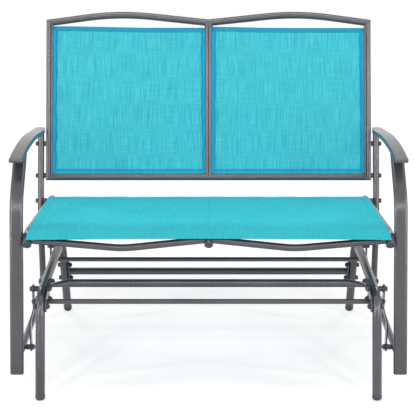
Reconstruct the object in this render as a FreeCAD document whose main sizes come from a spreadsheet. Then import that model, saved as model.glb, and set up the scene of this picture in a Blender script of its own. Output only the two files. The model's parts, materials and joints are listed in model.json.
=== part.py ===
import FreeCAD, Part
import math
import os

from FreeCAD import Placement, Rotation, Vector

# A two seat glider bench. +X is right as seen from the front, +Y is rearward, +Z is up.
# Lengths are millimetres. Heights count from the floor, and depths count from the point
# where the front legs' axes meet the floor.

doc = FreeCAD.newDocument("glider_bench")
sheet = doc.addObject("Spreadsheet::Sheet", "sizes")

DRIVING_SIZES = {
    # base arches
    "arch_tube_diameter": 25.0,
    "arch_height": 264.9,
    "arch_rear_reach": 156.2,
    "front_leg_lean": 16.65,
    "rear_leg_lean": 19.4,
    "front_arch_radius": 70.0,
    "rear_arch_radius": 75.0,
    "foot_cap_diameter": 26.0,
    "foot_cap_height": 16.0,
    "foot_cap_rounding": 9.0,
    "foot_cap_flat": 0.8,
    # cross bars of the base
    "cross_bar_diameter": 22.0,
    "plate_thickness": 4.0,
    "plate_width": 21.0,
    "front_bar_inset": 154.0,
    "front_bar_rise": 7.5,
    "front_bar_taper": 52.0,
    "front_bar_end_height": 9.5,
    "front_bar_end_depth": 28.0,
    "front_bar_end_drop": 5.5,
    "front_plate_tail": 58.0,
    "front_plate_sweep": 58.0,
    "front_plate_bolt_angle": 54.0,
    "rear_bar_height": 148.0,
    "rear_plate_bolt_spacing": 50.0,
    # swing links
    "front_pivot_depth": 131.3,
    "rear_pivot_setback": 68.2,
    "link_length": 167.7,
    "link_width": 25.0,
    "link_thickness": 3.5,
    "link_joggle": 12.0,
    "joggle_top_drop": 52.0,
    "joggle_drop": 45.0,
    "front_rod_drop": 36.5,
    "rear_rod_drop": 43.0,
    "rod_diameter": 13.5,
    "rod_spigot_diameter": 8.0,
    # pivots
    "pivot_bolt_diameter": 8.0,
    "running_clearance": 0.06,
    "bush_diameter": 12.0,
    "bush_flange_diameter": 18.0,
    "bush_flange_thickness": 1.2,
    "running_gap": 0.3,
    "upper_link_standoff": 11.2,
    "lower_link_standoff": 13.1,
    "spacer_diameter": 15.0,
    # fasteners
    "bolt_clearance": 0.2,
    "bolt_head_diameter": 14.0,
    "bolt_head_height": 4.5,
    "nut_width": 13.0,
    "nut_height": 6.0,
    "thread_overhang": 2.0,
    "rod_nut_height": 3.2,
    "rod_nut_overhang": 0.8,
    # arm tubes and posts
    "arm_tube_offset": 505.1,
    "arm_tube_diameter": 19.0,
    "arm_tube_depth": 568.5,
    "arm_tube_lower_radius": 70.0,
    "arm_tube_upper_radius": 150.0,
    "arm_tube_crank_height": 316.0,
    "post_width": 36.0,
    "post_depth": 16.0,
    "post_foot_depth": 26.7,
    "post_foot_height": 69.2,
    "post_lean": 14.5,
    "post_crank_height": 502.6,
    "post_crank_lean": 44.2,
    "post_crank_radius": 150.0,
    "post_plug_height": 6.0,
    "post_plug_rounding": 4.0,
    # armrests
    "armrest_front_width": 36.6,
    "armrest_middle_width": 39.8,
    "armrest_rear_width": 28.1,
    "armrest_thickness": 10.0,
    "armrest_crown_height": 624.0,
    "armrest_crown_depth": 301.0,
    "armrest_crown_radius": 1330.0,
    "armrest_front": 155.0,
    "armrest_straight_from": 480.0,
    "armrest_rear_overhang": 7.0,
    "armrest_lip_height": 12.2,
    "armrest_lip_thickness": 7.6,
    "armrest_lip_rounding": 4.0,
    "armrest_edge_rounding": 3.5,
    "armrest_rear_corner": 12.5,
    "armrest_swell_length": 90.0,
    "armrest_swell_bend": 120.0,
    "armrest_narrow_length": 48.0,
    "armrest_narrow_bend": 60.0,
    # back frame
    "recline": 18.07,
    "back_foot_rise": 57.7,
    "back_length": 488.0,
    "back_spacer": 6.1,
    "stile_width": 20.0,
    "stile_depth": 24.0,
    "stile_tube_width": 14.2,
    "stile_rounding": 6.0,
    "channel_depth": 18.0,
    "channel_rounding": 2.5,
    "channel_gap": 0.3,
    "web_width": 6.0,
    "web_depth": 13.0,
    "top_rail_diameter": 21.0,
    "hump_rise": 28.7,
    "hump_offset": 270.0,
    "hump_radius": 800.0,
    "dip_radius": 60.0,
    "middle_stile_width": 18.5,
    "middle_stile_depth": 20.0,
    "middle_stile_rounding": 4.0,
    "bottom_rail_height": 20.0,
    "bottom_rail_depth": 21.0,
    "bottom_rail_rounding": 8.0,
    "lower_back_bolt_rise": 14.2,
    "back_bolt_spacing": 91.6,
    # seat frame
    "seat_rail_diameter": 25.0,
    "seat_rail_standoff": 9.1,
    "seat_rear_bolt_height": 378.5,
    "seat_rail_slope": 5.59,
    "seat_rail_tail": 20.0,
    "seat_nose_radius": 106.0,
    "seat_nose_depth": 120.1,
    "seat_nose_fall": 31.0,
    "seat_nose_tip": 4.0,
    "seat_cap_height": 5.0,
    "seat_cap_rounding": 3.3,
    "middle_rail_diameter": 23.0,
    "front_rail_diameter": 19.0,
    "front_rail_setback": 13.7,
    "front_rail_dip": 23.0,
    "front_rail_dip_offset": 225.0,
    "front_rail_dip_radius": 300.0,
    "front_rail_middle_rise": 1.6,
    "front_rail_middle_radius": 60.0,
    "rear_rail_diameter": 19.0,
    "rear_rail_setback": 18.0,
    # slings
    "sling_thickness": 2.4,
    "sling_clearance": 0.2,
    "sling_groove_depth": 5.0,
    "back_sling_top": 463.0,
    "seat_sling_overhang": 5.0,
    "seat_sling_front_margin": 3.5,
    "seat_sling_rear_margin": 17.5,
}
for row, (alias, value) in enumerate(DRIVING_SIZES.items(), start=1):
    sheet.set("A%d" % row, alias)
    sheet.set("B%d" % row, str(value))
    sheet.setAlias("B%d" % row, alias)
doc.recompute()


def size(alias):
    return float(sheet.get(alias))


def radians(alias):
    return math.radians(size(alias))


# Sideways chain, from the arm tubes inward
arm_x = size("arm_tube_offset")
arm_inner_x = arm_x - size("arm_tube_diameter") / 2
arm_outer_x = arm_x + size("arm_tube_diameter") / 2
link_low_outer_x = arm_inner_x - size("lower_link_standoff")
link_low_inner_x = link_low_outer_x - size("link_thickness")
link_up_outer_x = link_low_outer_x - size("link_joggle")
link_up_inner_x = link_low_inner_x - size("link_joggle")
arch_outer_x = link_up_inner_x - size("upper_link_standoff")
arch_x = arch_outer_x - size("arch_tube_diameter") / 2
arch_inner_x = arch_x - size("arch_tube_diameter") / 2
plate_inner_x = arch_inner_x - size("plate_thickness")
stile_outer_x = arm_inner_x - size("back_spacer")
stile_inner_x = stile_outer_x - size("stile_width")
stile_x = stile_outer_x - size("stile_width") / 2
rail_outer_x = arm_inner_x - size("seat_rail_standoff")
rail_x = rail_outer_x - size("seat_rail_diameter") / 2
rail_inner_x = rail_x - size("seat_rail_diameter") / 2
post_inner_x = arm_x - size("post_width") / 2

# Pivot places
front_pivot_y = size("front_pivot_depth")
rear_pivot_y = size("arm_tube_depth") - size("rear_pivot_setback")
upper_pivot_z = size("arch_height")
lower_pivot_z = upper_pivot_z - size("link_length")
arch_rear_y = rear_pivot_y + size("arch_rear_reach")


def arm_tube_depth_at(height):
    """Depth of the arm tubes' upper runs, which lean with the back."""
    rise = height - size("arm_tube_crank_height")
    return size("arm_tube_depth") + rise * math.tan(radians("recline"))


# The back frame's middle plane holds the arm tubes' upper runs
rear_seat_bolt = (
    arm_tube_depth_at(size("seat_rear_bolt_height")), size("seat_rear_bolt_height")
)
back_foot_z = size("seat_rear_bolt_height") + size("back_foot_rise")
back_foot_y = arm_tube_depth_at(back_foot_z)
back_up = Vector(0, math.sin(radians("recline")), math.cos(radians("recline")))
top_rail_v = size("back_length") - size("top_rail_diameter") / 2

# The depth that the whole bench is centred on
cap_radius = size("foot_cap_diameter") / 2
cap_core = cap_radius - size("foot_cap_rounding")
front_lean = radians("front_leg_lean")


def cap_start(lean):
    """Distance up a leg's axis from the floor to its cap's lower end."""
    rise = size("foot_cap_rounding") * (1 - math.cos(lean))
    return (rise + cap_core * math.sin(lean) - size("foot_cap_flat")) / math.cos(lean)


nose_up_leg = cap_start(front_lean) + size("foot_cap_rounding")
front_reach = (
    nose_up_leg * math.sin(front_lean)
    - cap_core * math.cos(front_lean)
    - size("foot_cap_rounding")
)
hump_turn = math.atan(size("hump_rise") / (stile_x - size("hump_offset")))
hump_turn += math.atan(size("hump_rise") / size("hump_offset"))
hump_peak_v = top_rail_v + size("hump_rise")
hump_peak_v -= size("hump_radius") * (1 / math.cos(hump_turn / 2) - 1)
rear_reach = back_foot_y + hump_peak_v * back_up.y + size("top_rail_diameter") / 2
middle_y = (front_reach + rear_reach) / 2

SIDE_VIEW = Rotation(Vector(1, 1, 1), 120)
FRONT_VIEW = Rotation(Vector(1, 0, 0), 90)
ALONG_X = Rotation(Vector(0, 1, 0), 90)
BACK_VIEW = Rotation(Vector(1, 0, 0), 90 - size("recline"))

subparts = []


def named(label, thing):
    """Give a finished sub-part its own name and keep it for writing out."""
    thing.Label = label
    subparts.append(thing)
    return thing


def side_point(y, z):
    """A point of the bench's side view: depth from the front foot, height."""
    return Vector(y - middle_y, z, 0)


def run_and_bend(corners, radii):
    """Straight runs joined by tangent arcs, one radius for each inner corner."""
    edges = []
    start = corners[0]
    for before, corner, after, radius in zip(corners, corners[1:], corners[2:], radii):
        inward = (before - corner).normalize()
        outward = (after - corner).normalize()
        half_turn = (math.pi - inward.getAngle(outward)) / 2
        reach = radius * math.tan(half_turn)
        bend_start = corner + inward * reach
        bend_end = corner + outward * reach
        middle = (inward + outward).normalize()
        crown = corner + middle * (radius / math.cos(half_turn) - radius)
        edges.append(Part.LineSegment(start, bend_start))
        edges.append(Part.Arc(bend_start, crown, bend_end))
        start = bend_end
    edges.append(Part.LineSegment(start, corners[-1]))
    return edges


def sketch(name, edges, placement):
    """A sketch whose outline is the given lines and arcs."""
    drawing = doc.addObject("Sketcher::SketchObject", name)
    drawing.Placement = placement
    for edge in edges:
        drawing.addGeometry(edge, False)
    return drawing


def polygon(points):
    return [Part.LineSegment(a, b) for a, b in zip(points, points[1:] + points[:1])]


def side_plane(x):
    return Placement(Vector(x, 0, 0), SIDE_VIEW)


def back_plane():
    """Plane of the back frame: X across, Y up the slope from the frame's lower edge."""
    return Placement(Vector(0, back_foot_y - middle_y, back_foot_z), BACK_VIEW)


def bent_tube(name, corners, radii, plane, diameter):
    """A round tube along straight runs and tangent arcs."""
    path = sketch(name + "_path", run_and_bend(corners, radii), plane)
    section = doc.addObject("Part::Circle", name + "_section")
    section.setExpression("Radius", "sizes.%s / 2" % diameter)
    direction = plane.Rotation.multVec(corners[1] - corners[0])
    start = plane.multVec(corners[0])
    section.Placement = Placement(start, Rotation(Vector(0, 0, 1), direction))
    tube = doc.addObject("Part::Sweep", name)
    tube.Sections = [section]
    tube.Spine = (path, ["Edge%d" % (i + 1) for i in range(2 * len(radii) + 1)])
    tube.Solid = True
    return tube


def cylinder_x(name, y, z, low_x, high_x, diameter):
    """A round bar along X; diameter is an expression of the sheet's cells."""
    bar = doc.addObject("Part::Cylinder", name)
    bar.setExpression("Radius", "(%s) / 2" % diameter)
    bar.Height = high_x - low_x
    bar.Placement = Placement(Vector(low_x, y - middle_y, z), ALONG_X)
    return bar


def hex_x(name, y, z, low_x, high_x):
    """A hexagon nut or head along X, of the nut's width across flats."""
    nut = doc.addObject("Part::Prism", name)
    nut.Polygon = 6
    nut.setExpression("Circumradius", "sizes.nut_width / 2 / cos(30)")
    nut.Height = high_x - low_x
    nut.Placement = Placement(Vector(low_x, y - middle_y, z), ALONG_X)
    return nut


def fused(name, things):
    whole = doc.addObject("Part::MultiFuse", name)
    whole.Shapes = things
    return whole


def cut(name, base, tool):
    rest = doc.addObject("Part::Cut", name)
    rest.Base = base
    rest.Tool = tool
    return rest


def group(name, things):
    together = doc.addObject("Part::Compound", name)
    together.Links = things
    return together


def mirrored(name, source):
    """The same thing on the other side of the bench."""
    twin = doc.addObject("Part::Mirroring", name)
    twin.Source = source
    twin.Normal = Vector(1, 0, 0)
    return twin


def pair(name, source):
    """A right hand piece and its left hand twin, as two sub-parts."""
    named(name + "_right", source)
    named(name + "_left", mirrored(name + "_left", source))


def both_sides(name, things):
    """Pieces of the right side with their twins, as one group of separate solids."""
    twins = [mirrored("%s_twin_%d" % (name, i), thing) for i, thing in enumerate(things)]
    return named(name, group(name, things + twins))


def drilled(name, solid, places, low_x, high_x, diameter):
    """Holes along X at (depth, height) places."""
    drills = [
        cylinder_x("%s_drill_%d" % (name, i), y, z, low_x, high_x, diameter)
        for i, (y, z) in enumerate(places)
    ]
    return cut(name, solid, group(name + "_drills", drills))


def extruded(name, outline, length):
    """An outline pushed along its own normal."""
    solid = doc.addObject("Part::Extrusion", name)
    solid.Base = outline
    solid.DirMode = "Normal"
    solid.LengthFwd = length
    solid.Solid = True
    return solid


def extruded_x(name, edges, low_x, high_x):
    """A side view outline pushed from one X to another."""
    return extruded(name, sketch(name + "_outline", edges, side_plane(low_x)), high_x - low_x)


BOLT_HOLE = "sizes.pivot_bolt_diameter + 2 * sizes.bolt_clearance"

# How far a cutting tool runs past the face that it opens
OVERRUN = 1.0


# Base arches: one tube a side, from the front foot up, along the pivots and down to the rear
rear_lean = radians("rear_leg_lean")
arch_bend_y = (
    size("arch_height") * math.tan(front_lean)
    + size("front_arch_radius") * math.tan((math.pi / 2 - front_lean) / 2)
)
arch_bend_z = size("arch_height") - size("front_arch_radius")


def arch_point(angle, radius):
    """A point of the front bend, at an angle counted from the top run towards the leg."""
    return (
        arch_bend_y - radius * math.sin(angle),
        arch_bend_z + radius * math.cos(angle),
    )


rear_bar_y = arch_rear_y - size("rear_bar_height") * math.tan(rear_lean)
bolt_slant = size("rear_plate_bolt_spacing") / 2
rear_plate_bolts = [
    (
        rear_bar_y - side * bolt_slant * math.sin(rear_lean),
        size("rear_bar_height") + side * bolt_slant * math.cos(rear_lean),
    )
    for side in (-1, 1)
]
front_plate_end_y = front_pivot_y + size("front_plate_tail")
front_plate_bolts = [
    (front_plate_end_y, upper_pivot_z),
    arch_point(radians("front_plate_bolt_angle"), size("front_arch_radius")),
]
upper_pivots = [(front_pivot_y, upper_pivot_z), (rear_pivot_y, upper_pivot_z)]
lower_pivots = [(front_pivot_y, lower_pivot_z), (rear_pivot_y, lower_pivot_z)]

arch_holes = upper_pivots + front_plate_bolts + rear_plate_bolts


def make_base_arches():
    cap = size("foot_cap_height")
    corners = [
        side_point(cap * math.sin(front_lean), cap * math.cos(front_lean)),
        side_point(size("arch_height") * math.tan(front_lean), size("arch_height")),
        side_point(
            arch_rear_y - size("arch_height") * math.tan(rear_lean), size("arch_height")
        ),
        side_point(arch_rear_y - cap * math.sin(rear_lean), cap * math.cos(rear_lean)),
    ]
    radii = [size("front_arch_radius"), size("rear_arch_radius")]
    tube = bent_tube("arch_tube", corners, radii, side_plane(arch_x), "arch_tube_diameter")
    arch = drilled(
        "base_arch_right", tube, arch_holes, arch_inner_x - OVERRUN, arch_outer_x + OVERRUN,
        BOLT_HOLE
    )
    pair("base_arch", arch)


def make_foot_caps():
    """Domed caps in line with the legs, worn flat where they stand on the floor."""
    for place, foot_y, lean in (("front", 0, front_lean), ("rear", arch_rear_y, -rear_lean)):
        name = "foot_cap_%s" % place
        start = cap_start(abs(lean))
        core = doc.addObject("Part::Cylinder", name + "_core")
        core.setExpression("Radius", "sizes.foot_cap_diameter / 2")
        core.Height = size("foot_cap_height") - start
        foot = Vector(
            arch_x, foot_y - middle_y + start * math.sin(lean), start * math.cos(lean)
        )
        core.Placement = Placement(foot, Rotation(Vector(1, 0, 0), -math.degrees(lean)))
        domed = doc.addObject("Part::Fillet", name + "_domed")
        domed.Base = core
        doc.recompute()
        lower_rim = min(
            range(1, len(core.Shape.Edges) + 1),
            key=lambda i: core.Shape.Edges[i - 1].BoundBox.ZMin
            + core.Shape.Edges[i - 1].BoundBox.ZMax,
        )
        rounding = size("foot_cap_rounding")
        domed.Edges = [(lower_rim, rounding, rounding)]
        floor = doc.addObject("Part::Box", name + "_floor")
        span = 2 * size("foot_cap_diameter")
        floor.Length = floor.Width = span
        floor.Height = cap_radius
        floor.Placement.Base = Vector(
            arch_x - span / 2, foot_y - middle_y - span / 2, -cap_radius
        )
        pair(name, cut(name + "_right", domed, floor))


def make_cross_bars():
    """Two bars across the base. Each ends in plates bolted inside the arches."""
    half = size("plate_width") / 2
    top = size("front_arch_radius") + half
    under = size("front_arch_radius") - half
    sweep = radians("front_plate_sweep")
    end_y = front_plate_end_y
    tip_out = arch_point(sweep, top)
    tip_in = arch_point(sweep, under)
    tip_round = arch_point(
        sweep + half / size("front_arch_radius"), size("front_arch_radius")
    )
    bend_out = arch_point(sweep / 2, top)
    bend_in = arch_point(sweep / 2, under)
    front_outline = [
        Part.LineSegment(side_point(arch_bend_y, arch_bend_z + top),
                         side_point(end_y, arch_bend_z + top)),
        Part.Arc(side_point(end_y, arch_bend_z + top), side_point(end_y + half, upper_pivot_z),
                 side_point(end_y, arch_bend_z + under)),
        Part.LineSegment(side_point(end_y, arch_bend_z + under),
                         side_point(arch_bend_y, arch_bend_z + under)),
        Part.Arc(side_point(arch_bend_y, arch_bend_z + under), side_point(*bend_in),
                 side_point(*tip_in)),
        Part.Arc(side_point(*tip_in), side_point(*tip_round), side_point(*tip_out)),
        Part.Arc(side_point(*tip_out), side_point(*bend_out),
                 side_point(arch_bend_y, arch_bend_z + top)),
    ]
    front_blank = extruded_x("front_plate_blank", front_outline, plate_inner_x, arch_inner_x)
    front_plate = drilled("front_plate", front_blank, front_plate_bolts + upper_pivots[:1],
                          plate_inner_x - OVERRUN, arch_inner_x + OVERRUN, BOLT_HOLE)
    both_sides("front_bar_plates", [front_plate])

    lower, upper = rear_plate_bolts
    along = Vector(upper[0] - lower[0], upper[1] - lower[1], 0).normalize()
    across = Vector(-along.y, along.x, 0)
    low_bolt = side_point(*lower)
    high_bolt = side_point(*upper)
    rear_outline = [
        Part.LineSegment(low_bolt + across * half, high_bolt + across * half),
        Part.Arc(high_bolt + across * half, high_bolt + along * half,
                 high_bolt - across * half),
        Part.LineSegment(high_bolt - across * half, low_bolt - across * half),
        Part.Arc(low_bolt - across * half, low_bolt - along * half, low_bolt + across * half),
    ]
    rear_blank = extruded_x("rear_plate_blank", rear_outline, plate_inner_x, arch_inner_x)
    rear_plate = drilled("rear_plate", rear_blank, rear_plate_bolts,
                         plate_inner_x - OVERRUN, arch_inner_x + OVERRUN, BOLT_HOLE)
    both_sides("rear_bar_plates", [rear_plate])

    front_bar_z = upper_pivot_z + size("front_bar_rise")
    round_end = plate_inner_x - size("front_bar_taper")
    middle = cylinder_x("front_bar_middle", size("front_bar_inset"), front_bar_z,
                        -round_end, round_end, "sizes.cross_bar_diameter")
    full = doc.addObject("Part::Circle", "front_bar_full")
    full.setExpression("Radius", "sizes.cross_bar_diameter / 2")
    full.Placement = Placement(
        Vector(round_end, size("front_bar_inset") - middle_y, front_bar_z), SIDE_VIEW
    )
    flat = doc.addObject("Part::Ellipse", "front_bar_flat")
    flat.setExpression("MajorRadius", "sizes.front_bar_end_depth / 2")
    flat.setExpression("MinorRadius", "sizes.front_bar_end_height / 2")
    flat.Placement = Placement(
        Vector(plate_inner_x, size("front_bar_inset") - middle_y,
               front_bar_z - size("front_bar_end_drop")), SIDE_VIEW
    )
    taper = doc.addObject("Part::Loft", "front_bar_flattened")
    taper.Sections = [full, flat]
    taper.Solid = True
    named("front_cross_bar", fused("front_cross_bar", [
        middle, taper, mirrored("front_bar_flattened_left", taper)
    ]))
    named("rear_cross_bar", cylinder_x("rear_cross_bar", rear_bar_y, size("rear_bar_height"),
                                       -plate_inner_x, plate_inner_x,
                                       "sizes.cross_bar_diameter"))


def bolt_x(name, y, z, head_x, tip_x):
    """A low headed bolt along X. The head sits on the side away from the tip."""
    outward = 1 if head_x > tip_x else -1
    head_end = head_x + outward * size("bolt_head_height")
    head = cylinder_x(name + "_head", y, z, min(head_x, head_end), max(head_x, head_end),
                      "sizes.bolt_head_diameter")
    shank = cylinder_x(name + "_shank", y, z, min(head_x, tip_x), max(head_x, tip_x),
                       "sizes.pivot_bolt_diameter")
    return fused(name, [head, shank])


def nut_x(name, y, z, seat_x, end_x):
    """A hexagon nut with its bore, from its seat to its other face."""
    blank = hex_x(name + "_blank", y, z, min(seat_x, end_x), max(seat_x, end_x))
    bore = cylinder_x(name + "_bore", y, z, min(seat_x, end_x) - OVERRUN,
                      max(seat_x, end_x) + OVERRUN, "sizes.pivot_bolt_diameter")
    return cut(name, blank, bore)


def sleeve_x(name, y, z, low_x, high_x, outer, bore):
    """A round spacer or washer along X."""
    body = cylinder_x(name + "_body", y, z, low_x, high_x, outer)
    hole = cylinder_x(name + "_hole", y, z, low_x - OVERRUN, high_x + OVERRUN, bore)
    return cut(name, body, hole)


def make_base_fasteners():
    nut_end_plate = plate_inner_x - size("nut_height")
    bolts = []
    nuts = []
    for i, (y, z) in enumerate(front_plate_bolts + rear_plate_bolts):
        tip = nut_end_plate - size("thread_overhang")
        bolts.append(bolt_x("bar_bolt_%d" % i, y, z, arch_outer_x, tip))
        nuts.append(nut_x("bar_nut_%d" % i, y, z, plate_inner_x, nut_end_plate))
    both_sides("cross_bar_bolts", bolts)
    both_sides("cross_bar_nuts", nuts)

    flange = size("bush_flange_thickness")
    gap = size("running_gap")
    head_seat = link_up_outer_x + flange + gap
    spacer_end = link_up_inner_x - flange - gap
    bolts = []
    spacers = []
    nuts = []
    for i, (y, z) in enumerate(upper_pivots):
        seat = plate_inner_x if i == 0 else arch_inner_x
        end = seat - size("nut_height")
        bolts.append(bolt_x("upper_bolt_%d" % i, y, z, head_seat, end - size("thread_overhang")))
        nuts.append(nut_x("upper_nut_%d" % i, y, z, seat, end))
        spacers.append(sleeve_x("upper_spacer_%d" % i, y, z, arch_outer_x, spacer_end,
                                "sizes.spacer_diameter", BOLT_HOLE))
    both_sides("upper_pivot_bolts", bolts)
    both_sides("upper_pivot_nuts", nuts)
    both_sides("upper_pivot_spacers", spacers)


def make_swing(place, y):
    """One pair of joggled links with their bushes, tied together by a rod."""
    rod_z = upper_pivot_z - size(place + "_rod_drop")
    half = size("link_width") / 2
    top_z = upper_pivot_z + half
    bottom_z = lower_pivot_z - half
    joggle_top = upper_pivot_z - size("joggle_top_drop")
    joggle_bottom = joggle_top - size("joggle_drop")
    thick = size("link_thickness")
    step = size("link_joggle")
    strip = polygon([
        Vector(link_up_inner_x, top_z, 0),
        Vector(link_up_inner_x, joggle_top, 0),
        Vector(link_up_inner_x + step, joggle_bottom, 0),
        Vector(link_up_inner_x + step, bottom_z, 0),
        Vector(link_up_inner_x + step + thick, bottom_z, 0),
        Vector(link_up_inner_x + step + thick, joggle_bottom, 0),
        Vector(link_up_inner_x + thick, joggle_top, 0),
        Vector(link_up_inner_x + thick, top_z, 0),
    ])
    name = place + "_link"
    plane = Placement(Vector(0, y - middle_y + half, 0), FRONT_VIEW)
    bar = extruded(name + "_bar", sketch(name + "_strip", strip, plane), size("link_width"))
    upper = side_point(y, upper_pivot_z)
    lower = side_point(y, lower_pivot_z)
    out = Vector(half, 0, 0)
    up = Vector(0, half, 0)
    eyes = [
        Part.LineSegment(upper + out, lower + out),
        Part.Arc(lower + out, lower - up, lower - out),
        Part.LineSegment(lower - out, upper - out),
        Part.Arc(upper - out, upper + up, upper + out),
    ]
    outline = extruded_x(name + "_eyes", eyes, link_up_inner_x - OVERRUN,
                         link_low_outer_x + OVERRUN)
    rounded = doc.addObject("Part::Common", name + "_rounded")
    rounded.Base = bar
    rounded.Tool = outline
    pivots = [(y, upper_pivot_z), (y, lower_pivot_z)]
    eyed = drilled(name + "_eyed", rounded, pivots, link_up_inner_x - OVERRUN,
                   link_low_outer_x + OVERRUN, "sizes.bush_diameter")
    link = drilled(name + "_right", eyed, [(y, rod_z)], link_up_inner_x - OVERRUN,
                   link_low_outer_x + OVERRUN, "sizes.rod_spigot_diameter")
    pair(name, link)

    bushes = []
    flange = size("bush_flange_thickness")
    bore = "sizes.pivot_bolt_diameter + 2 * sizes.running_clearance"
    eye_faces = (
        (upper_pivot_z, link_up_inner_x, link_up_outer_x),
        (lower_pivot_z, link_low_inner_x, link_low_outer_x),
    )
    for i, (z, inner_x, outer_x) in enumerate(eye_faces):
        bush = "%s_bush_%d" % (place, i)
        body = fused(bush + "_body", [
            cylinder_x(bush + "_barrel", y, z, inner_x, outer_x, "sizes.bush_diameter"),
            cylinder_x(bush + "_inner_flange", y, z, inner_x - flange, inner_x,
                       "sizes.bush_flange_diameter"),
            cylinder_x(bush + "_outer_flange", y, z, outer_x, outer_x + flange,
                       "sizes.bush_flange_diameter"),
        ])
        hole = cylinder_x(bush + "_hole", y, z, inner_x - 2 * flange, outer_x + 2 * flange, bore)
        bushes.append(cut(bush, body, hole))
    both_sides(place + "_link_bushes", bushes)

    nut_end = link_up_outer_x + size("rod_nut_height")
    spigot_end = nut_end + size("rod_nut_overhang")
    named(place + "_tie_rod", fused(place + "_tie_rod", [
        cylinder_x(place + "_rod_bar", y, rod_z, -link_up_inner_x, link_up_inner_x,
                   "sizes.rod_diameter"),
        cylinder_x(place + "_rod_spigot", y, rod_z, -spigot_end, spigot_end,
                   "sizes.rod_spigot_diameter"),
    ]))
    both_sides(place + "_rod_nuts", [
        nut_x(place + "_rod_nut", y, rod_z, link_up_outer_x, nut_end)
    ])


# Arm posts, arm tubes and armrests
post_lean = radians("post_lean")
post_crank_lean = radians("post_crank_lean")
post_crank_y = size("post_foot_depth") + (
    size("post_crank_height") - size("post_foot_height")
) * math.tan(post_lean)
post_outer_x = arm_x + size("post_width") / 2
armrest_rear = arm_tube_depth_at(size("armrest_crown_height")) + size("armrest_rear_overhang")
crown_centre_z = size("armrest_crown_height") - size("armrest_crown_radius")


def crown_point(y, below):
    """A point of the armrest's crown, a given distance below its top face."""
    radius = size("armrest_crown_radius") - below
    lean = (y - size("armrest_crown_depth")) / size("armrest_crown_radius")
    return (
        size("armrest_crown_depth") + radius * math.sin(lean),
        crown_centre_z + radius * math.cos(lean),
    )


def armrest_nose():
    """Centre of the armrest's rounded front, and the lean at which it meets the crown."""
    nose = size("armrest_lip_thickness")
    centre_y = size("armrest_front") + nose
    arm = size("armrest_crown_radius") - nose
    lean = math.asin((centre_y - size("armrest_crown_depth")) / arm)
    return centre_y, crown_centre_z + arm * math.cos(lean), lean


def armrest_outline(below):
    """The armrest's side view, with its underside a given distance below the top face."""
    crown_lean = (
        size("armrest_straight_from") - size("armrest_crown_depth")
    ) / size("armrest_crown_radius")
    nose = size("armrest_lip_thickness")
    nose_y, nose_z, nose_lean = armrest_nose()
    half_lean = (nose_lean - math.pi / 2) / 2
    front = size("armrest_front")
    top_start = (nose_y + nose * math.sin(nose_lean), nose_z + nose * math.cos(nose_lean))
    nose_middle = (nose_y + nose * math.sin(half_lean), nose_z + nose * math.cos(half_lean))
    top_crown = crown_point(size("armrest_crown_depth"), 0)
    top_end = crown_point(size("armrest_straight_from"), 0)
    past_rear = armrest_rear + 2 * OVERRUN
    run = past_rear - top_end[0]
    rear_top = (past_rear, top_end[1] - run * math.tan(crown_lean))
    under_end = crown_point(size("armrest_straight_from"), below)
    rear_under = (
        rear_top[0] - below * math.sin(crown_lean), rear_top[1] - below * math.cos(crown_lean)
    )
    under_start = crown_point(nose_y, below)
    under_crown = crown_point(size("armrest_crown_depth"), below)
    lip_z = top_start[1] - size("armrest_lip_height")
    roll = size("armrest_lip_rounding")
    rolled = roll * (1 - math.sqrt(0.5))
    return [
        Part.Arc(side_point(*top_start), side_point(*top_crown), side_point(*top_end)),
        Part.LineSegment(side_point(*top_end), side_point(*rear_top)),
        Part.LineSegment(side_point(*rear_top), side_point(*rear_under)),
        Part.LineSegment(side_point(*rear_under), side_point(*under_end)),
        Part.Arc(side_point(*under_end), side_point(*under_crown), side_point(*under_start)),
        Part.LineSegment(side_point(*under_start), side_point(under_start[0], lip_z)),
        Part.LineSegment(side_point(under_start[0], lip_z), side_point(front + roll, lip_z)),
        Part.Arc(side_point(front + roll, lip_z), side_point(front + rolled, lip_z + rolled),
                 side_point(front, lip_z + roll)),
        Part.LineSegment(side_point(front, lip_z + roll), side_point(front, nose_z)),
        Part.Arc(side_point(front, nose_z), side_point(*nose_middle), side_point(*top_start)),
    ]


def armrest_plan():
    """The right armrest from above: flush with the post outside, swelling inward."""
    front = size("armrest_front") - OVERRUN - middle_y
    rear = armrest_rear - middle_y
    front_x = post_outer_x - size("armrest_front_width")
    swell_x = post_outer_x - size("armrest_middle_width")
    rear_x = post_outer_x - size("armrest_rear_width")
    corners = [
        Vector(post_outer_x, front, 0), Vector(post_outer_x, rear, 0), Vector(rear_x, rear, 0),
        Vector(rear_x, rear - size("armrest_narrow_length"), 0),
        Vector(swell_x, rear - size("armrest_swell_length"), 0), Vector(front_x, front, 0),
    ]
    round_edges = run_and_bend(corners, [
        size("armrest_rear_corner"), size("armrest_rear_corner"),
        size("armrest_narrow_bend"), size("armrest_swell_bend"),
    ])
    return round_edges + [Part.LineSegment(corners[-1], corners[0])]


def above_armrest_underside():
    """The space over the armrests' undersides, which trims the tubes that carry them."""
    radius = size("armrest_crown_radius")
    ceiling = size("armrest_crown_height") + size("armrest_middle_width")
    under = size("armrest_thickness")
    crown_lean = (
        size("armrest_straight_from") - size("armrest_crown_depth")
    ) / radius
    start = crown_point(size("armrest_front"), under)
    crown = crown_point(size("armrest_crown_depth"), under)
    end = crown_point(size("armrest_straight_from"), under)
    run = armrest_rear + size("armrest_middle_width") - end[0]
    tail = (end[0] + run, end[1] - run * math.tan(crown_lean))
    return [
        Part.Arc(side_point(*start), side_point(*crown), side_point(*end)),
        Part.LineSegment(side_point(*end), side_point(*tail)),
        Part.LineSegment(side_point(*tail), side_point(tail[0], ceiling)),
        Part.LineSegment(side_point(tail[0], ceiling), side_point(start[0], ceiling)),
        Part.LineSegment(side_point(start[0], ceiling), side_point(*start)),
    ]


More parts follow.
